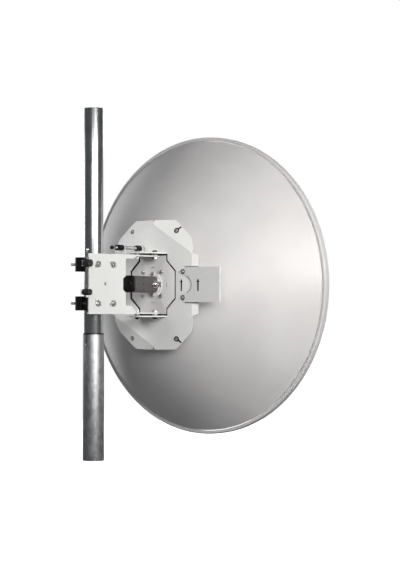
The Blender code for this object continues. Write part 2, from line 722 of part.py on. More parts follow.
def folded_sheet():
    """A hexagon with six flaps that rise towards the dish, as an open surface."""
    corners = [(0.0, HEX_TOP), (HEX_SIDE_X, HEX_SIDE_Z), (HEX_SIDE_X, -HEX_SIDE_Z),
               (0.0, -HEX_TOP), (-HEX_SIDE_X, -HEX_SIDE_Z), (-HEX_SIDE_X, HEX_SIDE_Z)]
    slanted = [(0.006, 0.207), (0.083, 0.206), (0.103, 0.190), (0.148, 0.150), (0.162, 0.117)]
    side = [(0.181, 0.092), (0.181, -0.092)]
    flaps = [slanted, side, [(x, -up) for x, up in reversed(slanted)],
             [(-x, -up) for x, up in slanted], [(-x, -up) for x, up in side],
             [(-x, up) for x, up in reversed(slanted)]]
    points = [(x, 0.0, up) for x, up in corners]
    faces = [tuple(range(6))]
    for index, flap in enumerate(flaps):
        after = (index + 1) % 6
        base = len(points)
        for spot in flap:
            rise = flap_rise(spot, corners[index], corners[after])
            points.append((spot[0], rise, spot[1]))
        faces.append((index,) + tuple(range(base, base + len(flap))) + (after,))
    return points, faces


def opening_outline():
    """The stepped opening in the middle of the plate."""
    right = [(OPENING_NARROW, OPENING_TOP), (OPENING_NARROW, 0.078), (OPENING_WIDE, 0.045)]
    right.extend([(x, -up) for x, up in reversed(right)])
    left = [(-x, up) for x, up in reversed(right)]
    return raised(right + left)


def ear_outline():
    """One ear seen from above, cut back where the bracket's screw lug stands."""
    wide = EAR_HALF_WIDTH
    front = PLATE_FRONT - 2.0 * GAP
    cut = 0.012
    return [(wide, front), (-wide, front), (-wide, EAR_STEP_Y), (EAR_STEP_X, EAR_STEP_Y),
            (EAR_STEP_X, EAR_BACK + cut), (EAR_STEP_X + cut, EAR_BACK),
            (wide - 0.006, EAR_BACK), (wide, EAR_BACK + 0.006)]


def build_back_plate(make):
    """The folded plate with its two ears and the second screw lug."""
    points, faces = folded_sheet()
    mesh = bpy.data.meshes.new("back_plate")
    mesh.from_pydata(points, [], faces)
    plate = bpy.data.objects.new("back_plate", mesh)
    make.finish(plate, DISH, (0.0, PLATE_Y, z(0.0)), Matrix.Identity(3), "white_paint")
    skin = plate.modifiers.new("Solidify", "SOLIDIFY")
    skin.thickness = PLATE_THICK
    skin.offset = 1.0
    skin.use_even_offset = True
    opening = make.plate("cut_opening", DISH, "Y", PLATE_Y - 0.02, PLATE_Y + 0.03,
                         [opening_outline()])
    make.combine(plate, opening, "DIFFERENCE")
    bars = []
    for up in (-1, 1):
        for side in (-1, 1):
            centre = (side * STANDOFF_X, z(up * STANDOFF_Z))
            bars.append(("Y", centre, STANDOFF_BOLT_HOLE, PLATE_Y - 0.02, PLATE_Y + 0.03, 12))
    make.combine(plate, make.bars("cut_plate_holes", DISH, bars), "DIFFERENCE")
    slot = arc_slot((TURN_X, TURN_Y), (TURN_X, LOCK_Y), AZIMUTH_SWING, LOCK_BOLT_RADIUS + 2 * GAP)
    holes = [ring((TURN_X, TURN_Y), TURN_BOLT_RADIUS + HOLE_FIT), slot]
    for label, low in (("lower", -EAR_LOW - EAR_THICK), ("upper", EAR_LOW)):
        ear = make.plate("add_ear_" + label, DISH, "Z", z(low), z(low + EAR_THICK),
                         [ear_outline()] + holes)
        make.combine(plate, ear, "UNION")
    hole = ring((TURN_SCREW_X, z(TURN_SCREW_Z)), DISH_LUG_HOLE)
    lug = make.plate("add_dish_lug", DISH, "Y", DISH_LUG_Y - 0.5 * LUG_THICK,
                     DISH_LUG_Y + 0.5 * LUG_THICK, [lug_outline(EAR_LOW + 0.001), hole])
    make.combine(plate, lug, "UNION")


def radio_outline():
    """The radio plate seen along the aim, with its two screw ears and cable notch."""
    half = RADIO_HALF_HEIGHT
    left = RADIO_LEFT
    reach = RADIO_EAR_RADIUS
    outline = [(RADIO_RIGHT, half), (left, half), (left, RADIO_EAR_Z + reach)]
    outline.extend(arc((RADIO_EAR_X, RADIO_EAR_Z), reach, 90, 270, 8))
    outline.append((left, RADIO_EAR_Z - reach))
    outline.extend(arc((left, 0.0), RADIO_NOTCH_RADIUS, 90, -90, 16))
    outline.append((left, -RADIO_EAR_Z + reach))
    outline.extend(arc((RADIO_EAR_X, -RADIO_EAR_Z), reach, 90, 270, 8))
    outline.extend([(left, -RADIO_EAR_Z - reach), (left, -half), (RADIO_RIGHT, -half)])
    return outline


def build_radio_plate(make):
    """The plate beside the mount that a radio is fixed to."""
    outlines = [raised(radio_outline())]
    for up in (-1, 1):
        outlines.append(ring((RADIO_EAR_X, z(up * RADIO_EAR_Z)), SMALL_HOLE_RADIUS))
        outlines.append(ring((RADIO_HOLE_X, z(up * RADIO_HOLE_Z)), SMALL_HOLE_RADIUS))
    outlines.append(rounded_box((0.1855, z(-0.0190)), (0.1905, z(0.0190)), 0.0024))
    plate = make.plate("radio_plate", DISH, "Y", RADIO_BACK, RADIO_FRONT, outlines, "white_paint")
    start = RADIO_LIP_START
    inner = RADIO_RIGHT - RADIO_THICK
    right = RADIO_RIGHT - 0.0001
    half = RADIO_HALF_HEIGHT - 0.0001
    low = half - RADIO_THICK
    outline = raised([(start, half), (start, low), (inner, low), (inner, -low), (start, -low),
                      (start, -half), (right, -half), (right, half)])
    lip = make.plate("add_radio_lip", DISH, "Y", RADIO_BACK + 0.001, RADIO_BACK + RADIO_LIP,
                     [outline])
    make.combine(plate, lip, "UNION")


def build_hub(make):
    """The plate and ring that carry the reflector, and its four posts."""
    make.plate("hub_plate", DISH, "Y", HUB_BACK, HUB_FRONT,
               [arc((0.0, z(0.0)), HUB_RADIUS, 22.5, 337.5, 7)], "white_paint")
    end = VERTEX_Y + HUB_RING_INNER * HUB_RING_INNER / FOUR_F - GAP
    wall = tube_profile(HUB_FRONT + GAP, end, HUB_RING_OUTER, HUB_RING_INNER)
    make.turned("hub_ring", DISH, "Y", (0.0, z(0.0)), wall, "white_paint", ROUND, True)
    spot = (STANDOFF_X, STANDOFF_Z)
    rise = flap_rise(spot, (0.0, HEX_TOP), (HEX_SIDE_X, HEX_SIDE_Z))
    start = PLATE_FRONT + rise + FLAP_SLOPE * STANDOFF_RADIUS + 2.0 * GAP
    reach = math.hypot(spot[0], spot[1]) - STANDOFF_RADIUS
    end = VERTEX_Y + reach * reach / FOUR_F - GAP
    number = 0
    for up in (-1, 1):
        for side in (-1, 1):
            number += 1
            centre = (side * STANDOFF_X, z(up * STANDOFF_Z))
            bar = ("Y", centre, STANDOFF_RADIUS, start, end, SMALL_ROUND)
            make.bars("standoff_" + str(number), DISH, [bar], "zinc")


def cut_box(half_width, half_height, cut):
    """A rectangle about the aim with its four corners cut off."""
    inner = half_width - cut
    low = half_height - cut
    return raised([(half_width, -low), (half_width, low), (inner, half_height),
                   (-inner, half_height), (-half_width, low), (-half_width, -low),
                   (-inner, -half_height), (inner, -half_height)])


def build_feed(make):
    """The feed's parts behind the plate, and its tube and cap in front."""
    centre = (0.0, z(0.0))
    bars = [("Y", centre, FLANGE_RADIUS, FLANGE_BACK, PLATE_FRONT, ROUND)]
    make.bars("feed_flange", DISH, bars, "white_paint")
    make.plate("feed_housing", DISH, "Y", HOUSING_BACK, FLANGE_BACK - GAP,
               [cut_box(HOUSING_HALF_WIDTH, HOUSING_HALF_HEIGHT, HOUSING_CUT)], "grey_casting")
    make.plate("feed_end_cap", DISH, "Y", CAP_BACK, HOUSING_BACK - GAP,
               [cut_box(CAP_HALF_WIDTH, CAP_HALF_HEIGHT, CAP_CUT)], "black_plastic")
    steps = [(0.0000, 0.0095), (0.0040, 0.0095), (0.0040, 0.0078), (0.0175, 0.0078),
             (0.0175, 0.0062), (0.0205, 0.0062)]
    start = HOUSING_HALF_WIDTH + GAP
    steps = [(start + along, reach) for along, reach in steps]
    make.turned("cable_connector", DISH, "X", (CONNECTOR_Y, z(-CONNECTOR_DROP)),
                solid_profile(steps), "nickel")
    bars = [("Y", centre, FEED_TUBE_RADIUS, HUB_FRONT + GAP, FEED_TUBE_END, 24)]
    make.bars("feed_tube", DISH, bars, "aluminium")
    steps = [(FEED_TUBE_END + GAP, FEED_TUBE_RADIUS), (FEED_TUBE_END + 0.024, 0.050),
             (FEED_TUBE_END + 0.032, 0.052), (FEED_TUBE_END + 0.034, 0.049)]
    make.turned("sub_reflector", DISH, "Y", centre, solid_profile(steps), "aluminium", ROUND)


def build_reflector(make):
    """The parabolic sheet and the rolled band round its edge."""
    centre = (0.0, z(0.0))
    rings = 9
    profile = []
    for index in range(rings + 1):
        reach = FEED_HOLE_RADIUS + (DISH_RADIUS - FEED_HOLE_RADIUS) * index / rings
        profile.append((VERTEX_Y + reach * reach / FOUR_F, reach))
    dish = make.turned("reflector", DISH, "Y", centre, profile, "white_paint", DISH_ROUND)
    skin = dish.modifiers.new("Solidify", "SOLIDIFY")
    skin.thickness = SHEET
    skin.offset = -1.0
    skin.use_even_offset = True
    lip = RIM_RADIUS - RIM_LIP
    cut = RIM_CORNER
    section = [(RIM_BACK, RIM_INNER), (RIM_BACK, RIM_RADIUS - cut), (RIM_BACK + cut, RIM_RADIUS),
               (RIM_FRONT - cut, RIM_RADIUS), (RIM_FRONT, RIM_RADIUS - cut), (RIM_FRONT, lip),
               (RIM_FRONT - SHEET, lip), (RIM_FRONT - SHEET, RIM_RADIUS - SHEET),
               (RIM_BACK + SHEET, RIM_RADIUS - SHEET), (RIM_BACK + SHEET, RIM_INNER)]
    make.turned("rim_band", DISH, "Y", centre, section, "white_paint", DISH_ROUND, True)


def main():
    """Builds the whole antenna."""
    clear_scene()
    make = Builder()
    make.surfaces["white_paint"] = ((0.78, 0.78, 0.76), 0.0, 0.45)
    make.surfaces["galvanised"] = ((0.50, 0.51, 0.52), 1.0, 0.35)
    make.surfaces["black_casting"] = ((0.02, 0.02, 0.02), 0.0, 0.5)
    make.surfaces["steel"] = ((0.55, 0.55, 0.55), 1.0, 0.35)
    make.surfaces["dark_steel"] = ((0.12, 0.12, 0.13), 0.8, 0.4)
    make.surfaces["zinc"] = ((0.45, 0.45, 0.46), 1.0, 0.35)
    make.surfaces["black_oxide"] = ((0.02, 0.02, 0.02), 0.3, 0.4)
    make.surfaces["grey_casting"] = ((0.15, 0.14, 0.15), 0.3, 0.5)
    make.surfaces["black_plastic"] = ((0.01, 0.01, 0.01), 0.0, 0.4)
    make.surfaces["aluminium"] = ((0.60, 0.60, 0.61), 1.0, 0.35)
    make.surfaces["nickel"] = ((0.62, 0.61, 0.58), 1.0, 0.25)
    make.add_parents()
    build_mast(make)
    build_jaws(make)
    build_clamp_plate(make)
    build_clamp_bolts(make)
    build_bracket(make)
    build_joint_bolts(make)
    build_elevation_screw(make)
    build_turn_screw(make)
    build_back_plate(make)
    build_radio_plate(make)
    build_hub(make)
    build_feed(make)
    build_reflector(make)


main()
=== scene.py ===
"""Dresses the parabolic dish antenna and its mast clamp, and sets the stage around it.

All lengths are metres. The dish aims along +Y and +Z is up. Places on the mount are
measured from its centre, which lies on the mast's axis.
"""

import math

import bmesh
import bpy
import numpy as np
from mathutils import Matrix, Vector


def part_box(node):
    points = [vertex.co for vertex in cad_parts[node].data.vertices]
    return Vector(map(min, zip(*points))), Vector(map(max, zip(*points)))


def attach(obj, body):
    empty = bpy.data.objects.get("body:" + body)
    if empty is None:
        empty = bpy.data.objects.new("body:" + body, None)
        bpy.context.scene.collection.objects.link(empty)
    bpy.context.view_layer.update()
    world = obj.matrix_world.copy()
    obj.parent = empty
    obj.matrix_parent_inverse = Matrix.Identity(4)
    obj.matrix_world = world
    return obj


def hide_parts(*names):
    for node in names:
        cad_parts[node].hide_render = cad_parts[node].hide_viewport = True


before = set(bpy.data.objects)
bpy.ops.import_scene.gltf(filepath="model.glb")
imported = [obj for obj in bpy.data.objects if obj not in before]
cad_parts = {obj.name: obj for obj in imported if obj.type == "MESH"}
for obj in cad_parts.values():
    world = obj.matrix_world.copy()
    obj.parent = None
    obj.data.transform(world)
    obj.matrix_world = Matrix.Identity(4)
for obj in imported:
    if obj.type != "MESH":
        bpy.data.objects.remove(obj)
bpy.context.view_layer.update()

bl_info = {
    "name": "Parabolic dish antenna",
    "version": (1, 0, 0),
    "blender": (4, 5, 0),
    "location": "3D View > Sidebar > Antenna",
    "description": "Builds the visible surfaces of a dish antenna on its mast",
    "category": "Add Mesh",
}

# Height of the mount's centre, and the mast's axis in the record's frame.
CENTRE_Z = 0.543
MAST_Y = 0.031725
MOUNT = (0.0, MAST_Y, CENTRE_Z)

# How meshes are made.
EDGE_ANGLE = math.radians(35.0)  # sharper edges stay sharp, or get a bevel
FLAT_ANGLE = math.radians(0.8)   # faces that meet flatter than this become one
MERGE = 0.000005                 # points closer than this become one
CORE = 0.0002                    # radius of the small ring that starts a flat end face
FINE_CORE = 0.0001               # the same on small turned pieces
ROWS_A_TURN = 7                  # rows of points along one turn of a thread
HEX_FACE = 0.93                  # a chamfer's inner edge, as a share of the hexagon's half width

# Threads: radius, pitch for the rows, depth.
THREAD_8 = (0.004, 0.00125, 0.0006)
THREAD_10 = (0.005, 0.0015, 0.0007)
CONNECTOR_THREAD = (0.0103, 0.0014, 0.0006)

# Mast.
MAST_TOP = 1.085
UPPER_FOOT = 0.236
UPPER_RADIUS = 0.03015
UPPER_WALL = 0.0029
SLEEVE_TOP = 0.388
SLEEVE_RADIUS = 0.033
SLEEVE_BORE = 0.03045
PIN_HOLE_Z = 0.358
PIN_HOLE_RADIUS = 0.0045
RIM_EASE = 0.0008          # rounding of a tube's rims

# Places on the mount.
CLAMP_BOLT_Y = 0.0352
CLAMP_BOLT_Z = 0.0598
BRACKET_FACE = 0.0489      # outer face of the bracket's web, across the mast
CLAMP_PLATE_FACE = 0.0446  # outer face of the clamp's plate
TURN_X = 0.023             # the bolts of the sideways turn
SCREW_X = 0.0575           # the upright screw
SCREW_Y = -0.0946
PLATE_FACE = 0.2840        # rear face of the back plate
RADIO_FACE = 0.2807        # rear face of the radio plate
FLAP_BOLT_X = 0.092
FLAP_BOLT_Z = 0.172
FLAP_LEAN = (0.153, 0.258)  # how far a flap's normal leans sideways and up

# Small hexagons: half their width over flats, and the bore.
SMALL_FLAT = 0.0059
SMALL_BORE = 0.0038

# Hub and bowl.
HUB_RADIUS = 0.145         # to the octagon's corners
ISLAND_CORNERS = ((0.0930, 0.0542), (0.0751, 0.0542), (0.0420, 0.0886))
GAP_SHADE_SHARE = 1.12          # outline of the black ring of painted shadow round the opening, against the raised centre's
BOWL_FOOT = 0.2925
BOWL_FOUR_F = 0.9074       # four times the focal length of the bowl
SHEET = 0.002
RIM_RADIUS = 0.490
FEED_END = 0.5140          # front end of the feed tube

# Stage. Each lamp: place, the point that it faces, size, colour.
FLOOR_Z = -0.1
FLOOR_REACH = 60.0
FLOOR_SIDES = 96
LAMPS = {
    "key_light": ((3.16, -1.09, 1.35), (0.18, 0.42, 0.60), (1.9, 1.3), "#fffdf9"),
    "fill_light": ((3.1, -4.5, 1.9), (0.0, 0.40, 0.55), (1.4, 1.4), "#f9fbff"),
    "backdrop_light": ((-2.4, 2.7, 1.0), (0.0, 0.0, 0.6), (5.0, 3.0), "#ffffff"),
    "strip_light": ((-4.6, 0.12, 1.15), (0.0, 0.0, 0.95), (1.1, 1.2), "#ffffff"),
    "plate_light": ((-1.1, -3.3, 2.9), (0.0, 0.3, 0.55), (2.0, 2.0), "#fffefb"),
}
PLATE_LIGHT_PIECES = ("back_plate_surface", "hub_plate_surface", "feed_flange_surface",
                      "feed_housing_surface", "flange_bolts")
CAMERA_PLACE = (3.861, -4.295, 0.4722)
CAMERA_TURN = (90.67, 0.0, 38.5)  # degrees
SENSOR_HEIGHT = 36.0  # millimetres, as is the lens
LENS = 118.7

# Two cross directions and the direction along, for each axis.
AXES = {
    "X": np.array([[0.0, 1.0, 0.0], [0.0, 0.0, 1.0], [1.0, 0.0, 0.0]]),
    "Y": np.array([[0.0, 0.0, 1.0], [1.0, 0.0, 0.0], [0.0, 1.0, 0.0]]),
    "Z": np.array([[1.0, 0.0, 0.0], [0.0, 1.0, 0.0], [0.0, 0.0, 1.0]]),
}

# Plated and blackened metals by the record's slot: name, dark and light tone,
# roughness, metallic, cloudy patches a metre.
PLATED = {
    # Bright and clean, with a broken shine.
    "steel": ("bright_zinc_plated_bolt_steel", "#b2b4b6", "#dadbdc", 0.30, 0.85, 90.0),
    # Bluer and greyer than the bolts.
    "zinc": ("blue_zinc_plated_screw_steel", "#8f9294", "#c2c5c6", 0.32, 1.0, 90.0),
    # Dull dark grey that holds oil; the same grey also paints shade along the radio plate's edges.
    "dark_steel": ("phosphated_steel_and_painted_shade", "#4b4c4e", "#6a6b6d", 0.42, 0.85, 90.0),
    # Near black with a soft gleam on its edges.
    "black_oxide": ("black_oxide_nut_steel", "#0d0d0e", "#242527", 0.40, 0.6, 90.0),
    # Warm pale metal with a clear shine.
    "nickel": ("nickel_plated_brass", "#bdbcba", "#e4e3e1", 0.24, 1.0, 160.0),
}

# Cast and moulded pieces by slot: name, dark and light tone, roughness, metallic,
# grains a metre.
CAST = {
    # Black with coarse sand grain of about 1.4 mm.
    "black_casting": ("black_coated_iron_casting", "#070707", "#161617", 0.46, 0.0, 700.0),
    # Warm grey with die grain of about 1.1 mm.
    "grey_casting": ("grey_die_cast_zinc", "#5a5657", "#716d6e", 0.44, 0.35, 900.0),
    # Black with a fine moulded texture of about 0.7 mm; the same black also paints shade in slots,
    # gaps, arrows, round the opening and under screws.
    "black_plastic": ("moulded_black_nylon_and_painted_shade", "#060706", "#0e100f", 0.42, 0.0, 1400.0),
}

FINISHES = {}


def at(x, y=0.0, z=0.0):
    """A place measured from the mount's centre."""
    return (x, MAST_Y + y, CENTRE_Z + z)


def linear(code):
    """An sRGB hex colour as linear red, green and blue."""
    parts = np.array([int(code[place:place + 2], 16) for place in (1, 3, 5)]) / 255.0
    low = parts / 12.92
    high = ((parts + 0.055) / 1.055) ** 2.4
    return tuple(float(v) for v in np.where(parts <= 0.04045, low, high))


def rgba(code):
    """The same colour with full alpha."""
    return linear(code) + (1.0,)


def add(tree, kind, settings=None, links=None):
    """Adds one node, sets its sockets or fields, and joins its inputs to earlier outputs."""
    made = tree.nodes.new(kind)
    for key, value in (settings or {}).items():
        if isinstance(key, int) or key in made.inputs:
            made.inputs[key].default_value = value
        else:
            setattr(made, key, value)
    for key, (source, output) in (links or {}).items():
        tree.links.new(source.outputs[output], made.inputs[key])
    return made


def start(name):
    """A new material with its node tree, its surface shader and the object's coordinates."""
    material = bpy.data.materials.new(name)
    material.use_nodes = True
    tree = material.node_tree
    shader = tree.nodes["Principled BSDF"]
    place = (add(tree, "ShaderNodeTexCoord"), "Object")
    return material, tree, shader, place


def dress(shader, pattern, tones, span, rough, grain, depth, strength, metallic=0.0):
    """Lets colour and roughness follow one pattern, and a fine relief another.

    A pattern is a node with the name of its output. The tones are sRGB hex colours at the
    two ends of the span, and depth is the height of the relief in metres.
    """
    tree = shader.id_data
    tone = add(tree, "ShaderNodeValToRGB", None, {"Fac": pattern})
    for stop, position, colour in zip(tone.color_ramp.elements, span, tones):
        stop.position = position
        stop.color = rgba(colour)
    gloss = add(tree, "ShaderNodeMapRange", {"To Min": rough[0], "To Max": rough[1]},
                {"Value": pattern})
    bump = add(tree, "ShaderNodeBump", {"Distance": depth, "Strength": strength},
               {"Height": grain})
    for made, output, entry in ((tone, "Color", "Base Color"), (gloss, "Result", "Roughness"),
                                (bump, "Normal", "Normal")):
        tree.links.new(made.outputs[output], shader.inputs[entry])
    shader.inputs["Metallic"].default_value = metallic


def galvanised_lower():
    """Hot-dip galvanised pipe: grey zinc crystals of about 9 mm and cloudy streaks, dull."""
    material, tree, shader, place = start("hot_dip_galvanised_pipe")
    stretch = add(tree, "ShaderNodeMapping", {"Scale": (1.0, 1.0, 0.55)}, {"Vector": place})
    cells = add(tree, "ShaderNodeTexVoronoi", {"Scale": 110.0, "Randomness": 1.0},
                {"Vector": (stretch, "Vector")})
    cloud = add(tree, "ShaderNodeTexNoise", {"Scale": 26.0, "Detail": 6.0, "Roughness": 0.65},
                {"Vector": (stretch, "Vector")})
    grey = add(tree, "ShaderNodeSeparateColor", None, {"Color": (cells, "Color")})
    blend = add(tree, "ShaderNodeMix", {"data_type": "FLOAT", "Factor": 0.55},
                {"A": (grey, "Red"), "B": (cloud, "Fac")})
    dress(shader, (blend, "Result"), ("#9b9c9f", "#c8c9cc"), (0.15, 0.85), (0.42, 0.56),
          (cloud, "Fac"), 0.00025, 0.6, 0.92)
    return material


def galvanised_upper():
    """Bright zinc-coated drawn tube: near mirror, with long drawing lines and faint stains."""
    material, tree, shader, place = start("bright_galvanised_tube")
    lines = add(tree, "ShaderNodeMapping", {"Scale": (420.0, 420.0, 6.0)}, {"Vector": place})
    drawn = add(tree, "ShaderNodeTexNoise", {"Scale": 1.0, "Detail": 2.0},
                {"Vector": (lines, "Vector")})
    stain = add(tree, "ShaderNodeTexNoise", {"Scale": 14.0, "Detail": 5.0}, {"Vector": place})
    dress(shader, (stain, "Fac"), ("#b4b7ba", "#d6d8d9"), (0.3, 0.7), (0.22, 0.29),
          (drawn, "Fac"), 0.00002, 0.4, 1.0)
    return material


def white_paint():
    """Powder-coated steel sheet: even colour with orange peel about 2 mm across, satin."""
    material, tree, shader, place = start("powder_coated_steel_sheet")
    peel = add(tree, "ShaderNodeTexNoise", {"Scale": 480.0, "Detail": 2.0}, {"Vector": place})
    cloud = add(tree, "ShaderNodeTexNoise", {"Scale": 9.0, "Detail": 5.0, "Roughness": 0.6},
                {"Vector": place})
    dress(shader, (cloud, "Fac"), ("#eff0ee", "#f5f6f4"), (0.32, 0.68), (0.37, 0.48),
          (peel, "Fac"), 0.00006, 0.55)
    shader.inputs["IOR"].default_value = 1.5
    return material


def dish_paint():
    """Spun aluminium bowl in sprayed satin paint: faint rings of the spinning tool show."""
    material, tree, shader, place = start("sprayed_satin_paint_on_spun_bowl")
    centred = add(tree, "ShaderNodeMapping", {"Location": (0.0, 0.0, -CENTRE_Z)},
                  {"Vector": place})
    flat = add(tree, "ShaderNodeVectorMath", {"operation": "MULTIPLY", 1: (1.0, 0.0, 1.0)},
               {0: (centred, "Vector")})
    radius = add(tree, "ShaderNodeVectorMath", {"operation": "LENGTH"}, {0: (flat, "Vector")})
    rings = add(tree, "ShaderNodeTexNoise", {"noise_dimensions": "1D", "Scale": 160.0,
                                             "Detail": 3.0}, {"W": (radius, "Value")})
    peel = add(tree, "ShaderNodeTexNoise", {"Scale": 420.0, "Detail": 2.0}, {"Vector": place})
    cloud = add(tree, "ShaderNodeTexNoise", {"Scale": 5.0, "Detail": 4.0}, {"Vector": place})
    both = add(tree, "ShaderNodeMix", {"data_type": "FLOAT", "Factor": 0.35},
               {"A": (rings, "Fac"), "B": (peel, "Fac")})
    dress(shader, (cloud, "Fac"), ("#dedcdc", "#eae8e8"), (0.3, 0.7), (0.36, 0.46),
          (both, "Result"), 0.00006, 0.5)
    shader.inputs["IOR"].default_value = 1.5
    return material


def plated(name, dark, light, rough, metallic, patches):
    """Plated or blackened metal: its own colour with a soft, handled unevenness."""
    material, tree, shader, place = start(name)
    cloud = add(tree, "ShaderNodeTexNoise", {"Scale": patches, "Detail": 4.0}, {"Vector": place})
    fine = add(tree, "ShaderNodeTexNoise", {"Scale": 900.0, "Detail": 2.0}, {"Vector": place})
    dress(shader, (cloud, "Fac"), (dark, light), (0.3, 0.7), (rough - 0.06, rough + 0.08),
          (fine, "Fac"), 0.00003, 0.5, metallic)
    return material


def cast(name, dark, light, rough, metallic, grain):
    """A coated casting: the sand or die grain shows as fine pits under the coat."""
    material, tree, shader, place = start(name)
    pits = add(tree, "ShaderNodeTexNoise", {"Scale": grain, "Detail": 5.0, "Roughness": 0.7},
               {"Vector": place})
    dress(shader, (pits, "Fac"), (dark, light), (0.3, 0.72), (rough - 0.08, rough + 0.1),
          (pits, "Fac"), 0.00018, 0.6, metallic)
    return material


def brushed_aluminium():
    """Mill-finished aluminium tube and cap: pale metal with fine turning lines."""
    material, tree, shader, place = start("mill_finished_aluminium")
    lines = add(tree, "ShaderNodeMapping", {"Scale": (60.0, 900.0, 60.0)}, {"Vector": place})
    cuts = add(tree, "ShaderNodeTexNoise", {"Scale": 1.0, "Detail": 2.0},
               {"Vector": (lines, "Vector")})
    dress(shader, (cuts, "Fac"), ("#bfc1c3", "#d9dadb"), (0.3, 0.7), (0.26, 0.40),
          (cuts, "Fac"), 0.00003, 0.5, 1.0)
    return material


def make_finishes():
    """Makes one material for each finish of the antenna, named by the record's slot."""
    FINISHES["galvanised_lower"] = galvanised_lower()
    FINISHES["galvanised_upper"] = galvanised_upper()
    FINISHES["white_paint"] = white_paint()
    FINISHES["dish_paint"] = dish_paint()
    FINISHES.update({slot: plated(*look) for slot, look in PLATED.items()})
    FINISHES.update({slot: cast(*look) for slot, look in CAST.items()})
    FINISHES["aluminium"] = brushed_aluminium()


def rows(points, flat=0.0, thread=0.0):
    """Profile points (along, radius), each with its hexagon's flats and thread depth."""
    table = np.zeros((len(points), 4))
    table[:, :2] = points
    table[:, 2] = flat
    table[:, 3] = thread
    return table


def capped(core, *points):
    """A profile with a flat face at each end, drawn in to a small ring."""
    return [(points[0][0], core), *points, (points[-1][0], core)]


def soft(points, size, steps=3):
    """The same profile with each inner corner taken round by a quadratic curve of that size."""
    points = np.asarray(points, dtype=float)
    before = points[:-2]
    here = points[1:-1]
    after = points[2:]
    back = before - here
    ahead = after - here
    back_long = np.linalg.norm(back, axis=1, keepdims=True)
    ahead_long = np.linalg.norm(ahead, axis=1, keepdims=True)
    begin = here + back / back_long * np.minimum(size, 0.45 * back_long)
    end = here + ahead / ahead_long * np.minimum(size, 0.45 * ahead_long)
    t = np.linspace(0.0, 1.0, steps)[None, :, None]
    curve = (1 - t) ** 2 * begin[:, None] + 2 * t * (1 - t) * here[:, None] + t * t * end[:, None]
    return np.vstack([points[:1], curve.reshape(-1, 2), points[-1:]])


def thread_rows(low, high, radius, pitch, depth):
    """Close rows along a threaded stretch, the same number to each turn of the thread."""
    count = max(3, int(abs(high - low) / pitch * ROWS_A_TURN) + 1)
    along = np.linspace(low, high, count)
    table = rows(np.stack([along, np.full(count, radius)], axis=1), thread=depth)
    table[[0, -1], 3] = 0.0
    return table


def hexagon_rows(low, high, flat, bore=0.0):
    """Profile of a chamfered hexagon from low to high: the cone cuts its six corners."""
    reach = flat / math.cos(math.pi / 6.0)
    face = HEX_FACE * flat
    drop = min((reach - face) * math.tan(math.radians(30.0)), 0.4 * abs(high - low))
    t = np.linspace(0.0, 1.0, 5)
    cone = face + (reach - face) * t
    lower = np.stack([low + drop * t, cone], axis=1)
    upper = np.stack([high - drop * t[::-1], cone[::-1]], axis=1)
    return rows(np.vstack([[[low, bore]], lower, upper, [[high, bore]]]), flat=flat)


def flipped(table):
    """The same profile mirrored about the mount's centre."""
    table = table[::-1].copy()
    table[:, 0] *= -1.0
    return table


def cross_axes(axis):
    """Two cross directions and the direction along, for a letter or any direction."""
    if isinstance(axis, str):
        return AXES[axis]
    third = np.asarray(axis) / np.linalg.norm(axis)
    first = np.cross([0.0, 0.0, 1.0], third)
    first = first / np.linalg.norm(first)
    return np.stack([first, np.cross(third, first), third])


def lathe_grid(axis, origin, table, columns, pitch=THREAD_8[1], turn=0.0):
    """Points of a turned shape: radius by angle and place along the axis.

    The radius is the profile's, cut off at a hexagon's flats, less a saw-tooth that climbs
    one pitch a turn.
    """
    angle = np.arange(columns) * 2.0 * math.pi / columns
    along = table[:, 0:1]
    flat = table[:, 2:3]
    sector = np.mod(angle, math.pi / 3.0) - math.pi / 6.0
    limit = np.where(flat > 0.0, flat / np.cos(sector)[None, :], np.inf)
    wave = np.mod(along / pitch - angle[None, :] / (2.0 * math.pi), 1.0)
    radius = np.minimum(table[:, 1:2], limit) - table[:, 3:4] * np.abs(2.0 * wave - 1.0)
    first, second, third = cross_axes(axis)
    cos = np.cos(angle + turn)[None, :, None]
    sin = np.sin(angle + turn)[None, :, None]
    return (np.asarray(origin) + along[:, :, None] * third
            + radius[:, :, None] * (cos * first + sin * second))


def skin(grid, ends=None):
    """Faces over a grid whose columns close round; two end points close it, or it is a ring."""
    count, columns = grid.shape[:2]
    points = grid.reshape(-1, 3)
    side = np.arange(columns)
    after = np.roll(side, -1)
    last = count if ends is None else count - 1
    low = (np.arange(last) * columns)[:, None]
    high = (low + columns) % (count * columns)
    quads = np.stack([low + side, low + after, high + after, high + side], axis=-1)
    corners = quads.reshape(-1)
    sizes = np.full(last * columns, 4)
    if ends is not None:
        points = np.vstack([points, ends])
        foot = count * columns
        top = (count - 1) * columns
        base = np.stack([np.full(columns, foot), after, side], axis=-1)
        cap = np.stack([np.full(columns, foot + 1), top + side, top + after], axis=-1)
        corners = np.concatenate([corners, base.reshape(-1), cap.reshape(-1)])
        sizes = np.concatenate([sizes, np.full(2 * columns, 3)])
    return points, corners, sizes


def turned(axis, origin, table, columns=72, solid=True, **more):
    """The skin of a turned shape, solid with closed ends or a ring with a bore."""
    grid = lathe_grid(axis, origin, table, columns, **more)
    if not solid:
        return skin(grid)
    third = cross_axes(axis)[2]
    ends = np.asarray(origin) + np.outer([table[0, 0], table[-1, 0]], third)
    return skin(grid, ends)


def spun(axis, origin, points, ease, columns, steps=3):
    """The skin of a solid turned from a profile with eased corners."""
    return turned(axis, origin, rows(soft(points, ease, steps)), columns)


def tube(axis, origin, low, first, high, inner, outer, ease, columns):
    """The skin of a tube with eased rims; its rows start on the outer side, at first."""
    begin = (first, outer)
    section = soft([begin, (high, outer), (high, inner), (low, inner), (low, outer), begin],
                   ease)
    return turned(axis, origin, rows(section[:-1]), columns, solid=False)


